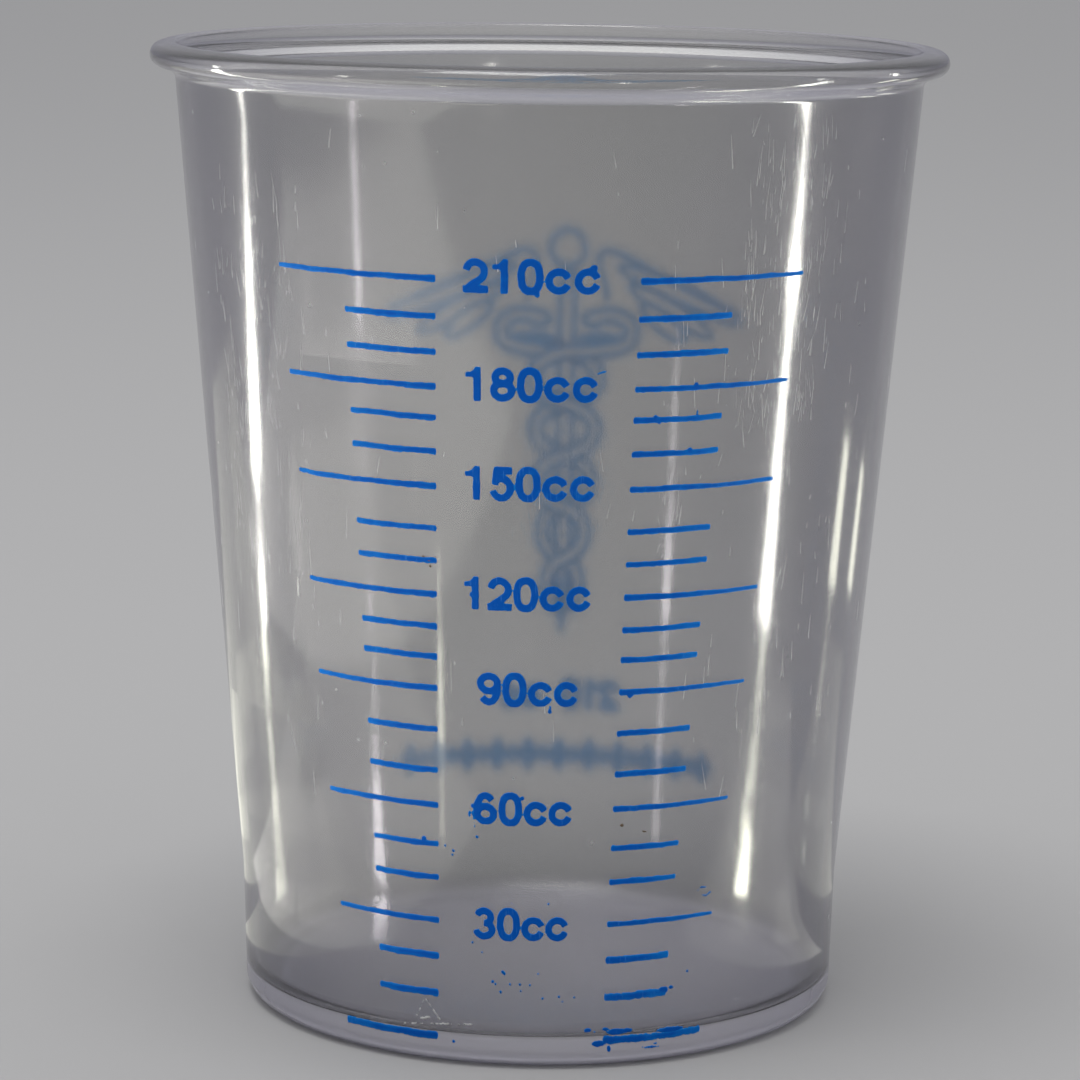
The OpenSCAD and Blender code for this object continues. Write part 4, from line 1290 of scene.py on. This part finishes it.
chance = np.random.default_rng(77)
# Most scratches are bunched beside the two main streaks, where real ones catch the lamps' light, so there their
# pale slivers are partly painted glints.
scratch_fields_and_glints = [(190, (30, 47), (60, 88)), (90, (18, 60), (30, 88)), (150, (-64, -40), (42, 84)),
               (50, (-70, 70), (24, 88)), (50, (0, 360), (15, 88))]
scratch_top, scratch_film = 89.0, 0.01
scratches = []
for count, turns, heights in scratch_fields_and_glints:
    for _ in range(count):
        turn, z = radians(chance.uniform(*turns)), chance.uniform(*heights)
        length, lean = chance.uniform(0.6, 1.8) ** 2, chance.normal(0, 0.12)
        upper = min(z + length * cos(lean), scratch_top)
        scratches.append(strip((turn, z), (turn + length * sin(lean) / wall_r(z), upper),
                               chance.uniform(0.025, 0.06), chance.uniform(0, 90), tip=0.3, ragged=0.12))
scratch_piece = strips_piece("fine_scratches", scratches, None, scuffed, "clear_plastic",
                             Along=14, Round=6, Film=scratch_film * MM, Gap=scratch_film * MM / 2)
scuff = joined(trail([(-12.0, 4.1), (-11.5, 5.0), (-10.8, 6.4)], 0.1),
               trail([(-10.8, 6.4), (-10.1, 5.6), (-9.0, 4.4)], 0.14),
               trail([(-13.3, 3.6), (-9.5, 3.95), (-5.3, 4.2)], 0.1), trail([(-11.3, 4.3), (-10.2, 4.5)], 0.2),
               trail([(18.9, 16.9), (19.2, 16.5)], 0.12), blot(-25.3, 44.4, 0.14, 0.9))
scuff_look = dict(finish=scuffed, slot_name="clear_plastic", passes=2, creep=0.0, ragged=0.05)
printed("foot_scuff", scuff, (-13.8, 3.2, -4.8, 6.8), 406, **scuff_look)
printed("side_scuff", scuff, (-25.8, 43, -24.8, 45.8), 407, **scuff_look)
print("scratches:", len(scratches), "faces:", len(scratch_piece.data.polygons))

# %% [markdown]
# ## The stage
#
# A clear object shows mostly what stands around it. The floor is a plain pale grey, so that bright
# streaks still read against it. The world is brighter above than at the horizon, which gives the
# foot and the rim their soft dark edges.

# %% Floor and world
floor_size = 12.0
floor_mesh = bpy.data.meshes.new("floor")
corners = [(x * floor_size, y * floor_size, 0) for x, y in ((-1, -1), (1, -1), (1, 1), (-1, 1))]
floor_mesh.from_pydata(corners, [], [(0, 1, 2, 3)])
floor = bpy.data.objects.new("floor", floor_mesh)
bpy.context.scene.collection.objects.link(floor)
pale_floor, tree, shader = material("pale_floor")
set_inputs(shader, Base_Color=(0.35, 0.35, 0.355, 1), Roughness=0.8)
floor_mesh.materials.append(pale_floor)

world = bpy.data.worlds.new("world")
world.use_nodes = True
bpy.context.scene.world = world
tree = world.node_tree
ray = add(tree, "ShaderNodeTexCoord").outputs["Generated"]
upwards = add(tree, "ShaderNodeSeparateXYZ", in_0=ray).outputs["Z"]
sky = blended(tree, mapped(tree, upwards, 0.0, 0.9), (0.28, 0.28, 0.32), (1.0, 1.0, 1.0))
feed(tree.nodes["Background"].inputs["Color"], sky)
print("floor side in metres:", 2 * floor_size)

# %% [markdown]
# ## The lamps
#
# One soft lamp overhead lights everything. The bright streaks are mirrored lamps, and where a lamp
# has to be follows from the mirror: the camera's ray is sent to a place on the wall and mirrored
# there. The wall leans outwards, so the ray comes down to the table, from 4 to 40 cm away. A streak
# is therefore a row of long lamps that lie low on the table and point away from the cup, and each
# stretch of it has its own width and brightness. A mirror doubles every angle, so a lamp is twice as
# wide as the wall's turn asks. A soft glow is a stack of such lamps, each smaller than the last. For
# an area lamp, power is radiance times pi times area, so the lamps are given by radiance. They are
# seen in mirrors alone, not by the camera and not through the plastic.

# %% Soft lamp overhead


def area_lamp(name, place, axes, size_x, size_y, radiance, tint):
    """A rectangular lamp whose light leaves along the reverse of its third axis."""
    data = bpy.data.lights.new(name, "AREA")
    data.shape = "RECTANGLE"
    data.size, data.size_y = size_x, size_y
    data.energy = radiance * pi * size_x * size_y
    data.color = tint
    made = bpy.data.objects.new(name, data)
    made.visible_camera = made.visible_transmission = False
    made.matrix_world = Matrix.Translation(place) @ axes.to_4x4()
    bpy.context.scene.collection.objects.link(made)


overhead_place, overhead_size = Vector((-0.12, -0.2, 1.1)), 0.5
area_lamp("overhead", overhead_place, (-overhead_place).to_track_quat("-Z", "Y").to_matrix(),
          overhead_size, overhead_size, 7.0, (1.0, 0.99, 0.97))
print("overhead lamp stands", round(overhead_place.length, 2), "m away")

# %% Lamps that the wall mirrors
lamp_h = 4 * MM
warm, green, pink = (1.0, 0.98, 0.9), (1.0, 1.0, 0.82), (1.0, 0.93, 0.97)
soft_steps, soft_inset, soft_narrowing = 5, 0.08, 0.18


def mirrored_spot(turn, z):
    """Where the camera's ray comes down to the lamps after the wall mirrors it, and how far that is."""
    r = wall_r(z)
    place = Vector((r * sin(turn), -r * cos(turn), z)) * MM
    normal = Vector((sin(turn), -cos(turn), -(taper if z > band_h else band_growth))).normalized()
    sight = (place - camera_place).normalized()
    leaving = sight - 2 * sight.dot(normal) * normal
    way = (lamp_h - place.z) / leaving.z
    return place + way * leaving, way


def streak(name, turn_top, turn_foot, tint, stretches):
    """Lamps for one streak. A stretch is its lower and upper height, its width on the wall and its radiance."""
    top, foot = stretches[0][1], stretches[-1][0]
    for i, (low, high, width, radiance) in enumerate(stretches):
        ends = [mirrored_spot(radians(turn_foot + (turn_top - turn_foot) * (z - foot) / (top - foot)), z)
                for z in (low, high)]
        along = ends[1][0] - ends[0][0]
        way = (ends[0][1] + ends[1][1]) / 2
        y_axis = along.normalized()
        z_axis = Vector((0, 0, -1))
        axes = Matrix((y_axis.cross(z_axis), y_axis, z_axis)).transposed()
        area_lamp("%s_%d" % (name, i), (ends[0][0] + ends[1][0]) / 2, axes,
                  2 * width / wall_r(high) * way, along.length, radiance, tint)


def soft_streak(name, turn, tint, low, high, width, radiance):
    """A streak with soft edges: lamps of one place, each smaller than the last."""
    for i in range(soft_steps):
        inward = (high - low) * soft_inset * i
        streak("%s_%d" % (name, i), turn, turn, tint,
               [(low + inward, high - inward, width * (1 - soft_narrowing * i), radiance)])


print("the middle of the wall mirrors", [round(v, 3) for v in mirrored_spot(0.0, cup_h / 2)[0]])

# %% [markdown]
# Each streak and glow was read off the photograph: its turn at its upper and lower end, then the
# heights, the width and the radiance of each stretch. The light is warm on the upper wall and
# greenish lower down, and two fainter streaks are pink.

# %% Streaks
streak("right_streak", 40.3, 40.0, warm,
       [(84, 91, 0.5, 30), (77, 84, 0.9, 34), (71.5, 77, 1.7, 40), (58, 71.5, 0.9, 34), (42, 58, 1.4, 34)])
streak("right_low_streak", 40.4, 39.9, green, [(26, 42, 1.0, 8), (15.5, 26, 1.5, 34)])
streak("left_streak", -50.9, -56.0, warm,
       [(78, 90, 0.5, 20), (66, 78, 1.0, 32), (55, 66, 1.6, 40), (40, 55, 1.0, 30)])
streak("left_low_streak", -56.2, -57.5, green, [(30, 40, 1.0, 12), (12, 30, 1.3, 5)])
soft_streak("left_edge_glow", -65, green, 14, 64, 12, 0.45)
soft_streak("left_soft_light", -31, warm, 38, 84, 25, 1.7)
soft_streak("left_low_light", -36, warm, 10, 60, 15, 1.0)
soft_streak("left_foot_glow", -48, green, 8, 40, 11, 0.35)
soft_streak("right_low_glow", 44, warm, 8, 36, 10, 0.55)
soft_streak("right_edge_glow", 62, green, 14, 38, 8, 0.3)
streak("left_pink_streak", -29.2, -29.9, pink,
       [(70, 88, 0.6, 10), (58, 70, 1.2, 22), (27, 58, 0.6, 5), (14, 27, 1.3, 12)])
streak("right_pink_streak", 20.2, 20.8, pink, [(51, 68, 0.5, 6), (43, 51, 0.7, 12), (22, 43, 0.5, 5)])
streak("right_edge_streak", 58.3, 57.8, green, [(44, 58, 1.3, 7), (22, 44, 0.6, 2), (17, 24, 0.7, 7)])
streak("far_right_streak", 66.0, 66.0, green, [(43, 55, 1.2, 4)])
streak("low_left_streak", -17.0, -17.2, green, [(41, 50, 0.4, 5), (31, 41, 0.5, 13), (22, 31, 0.4, 5)])
print("lamps:", len(bpy.data.lights))

# %% [markdown]
# The wall never mirrors what stands upright, but the bead does, because it is round. A short upright
# lamp behind each row gives the bead its small glints, in line with the streaks below them.

# %% Glints on the bead
upright_h, upright_w, upright_way, upright_z = 0.15, 0.025, 0.7, 0.12
for i, azimuth in enumerate((-106, -58, 20, 80, 112)):
    a = radians(azimuth)
    out, above = Vector((sin(a), -cos(a), 0)), Vector((0, 0, 1))
    axes = Matrix((above.cross(out), above, out)).transposed()
    area_lamp("upright_%d" % i, out * upright_way + above * upright_z, axes, upright_w, upright_h, 18, warm)
print("upright lamps stand", upright_way, "m away")

# %% [markdown]
# ## Finish
#
# Last come the plain colour settings.

# %% Settings
bpy.context.scene.view_settings.view_transform = "Standard"
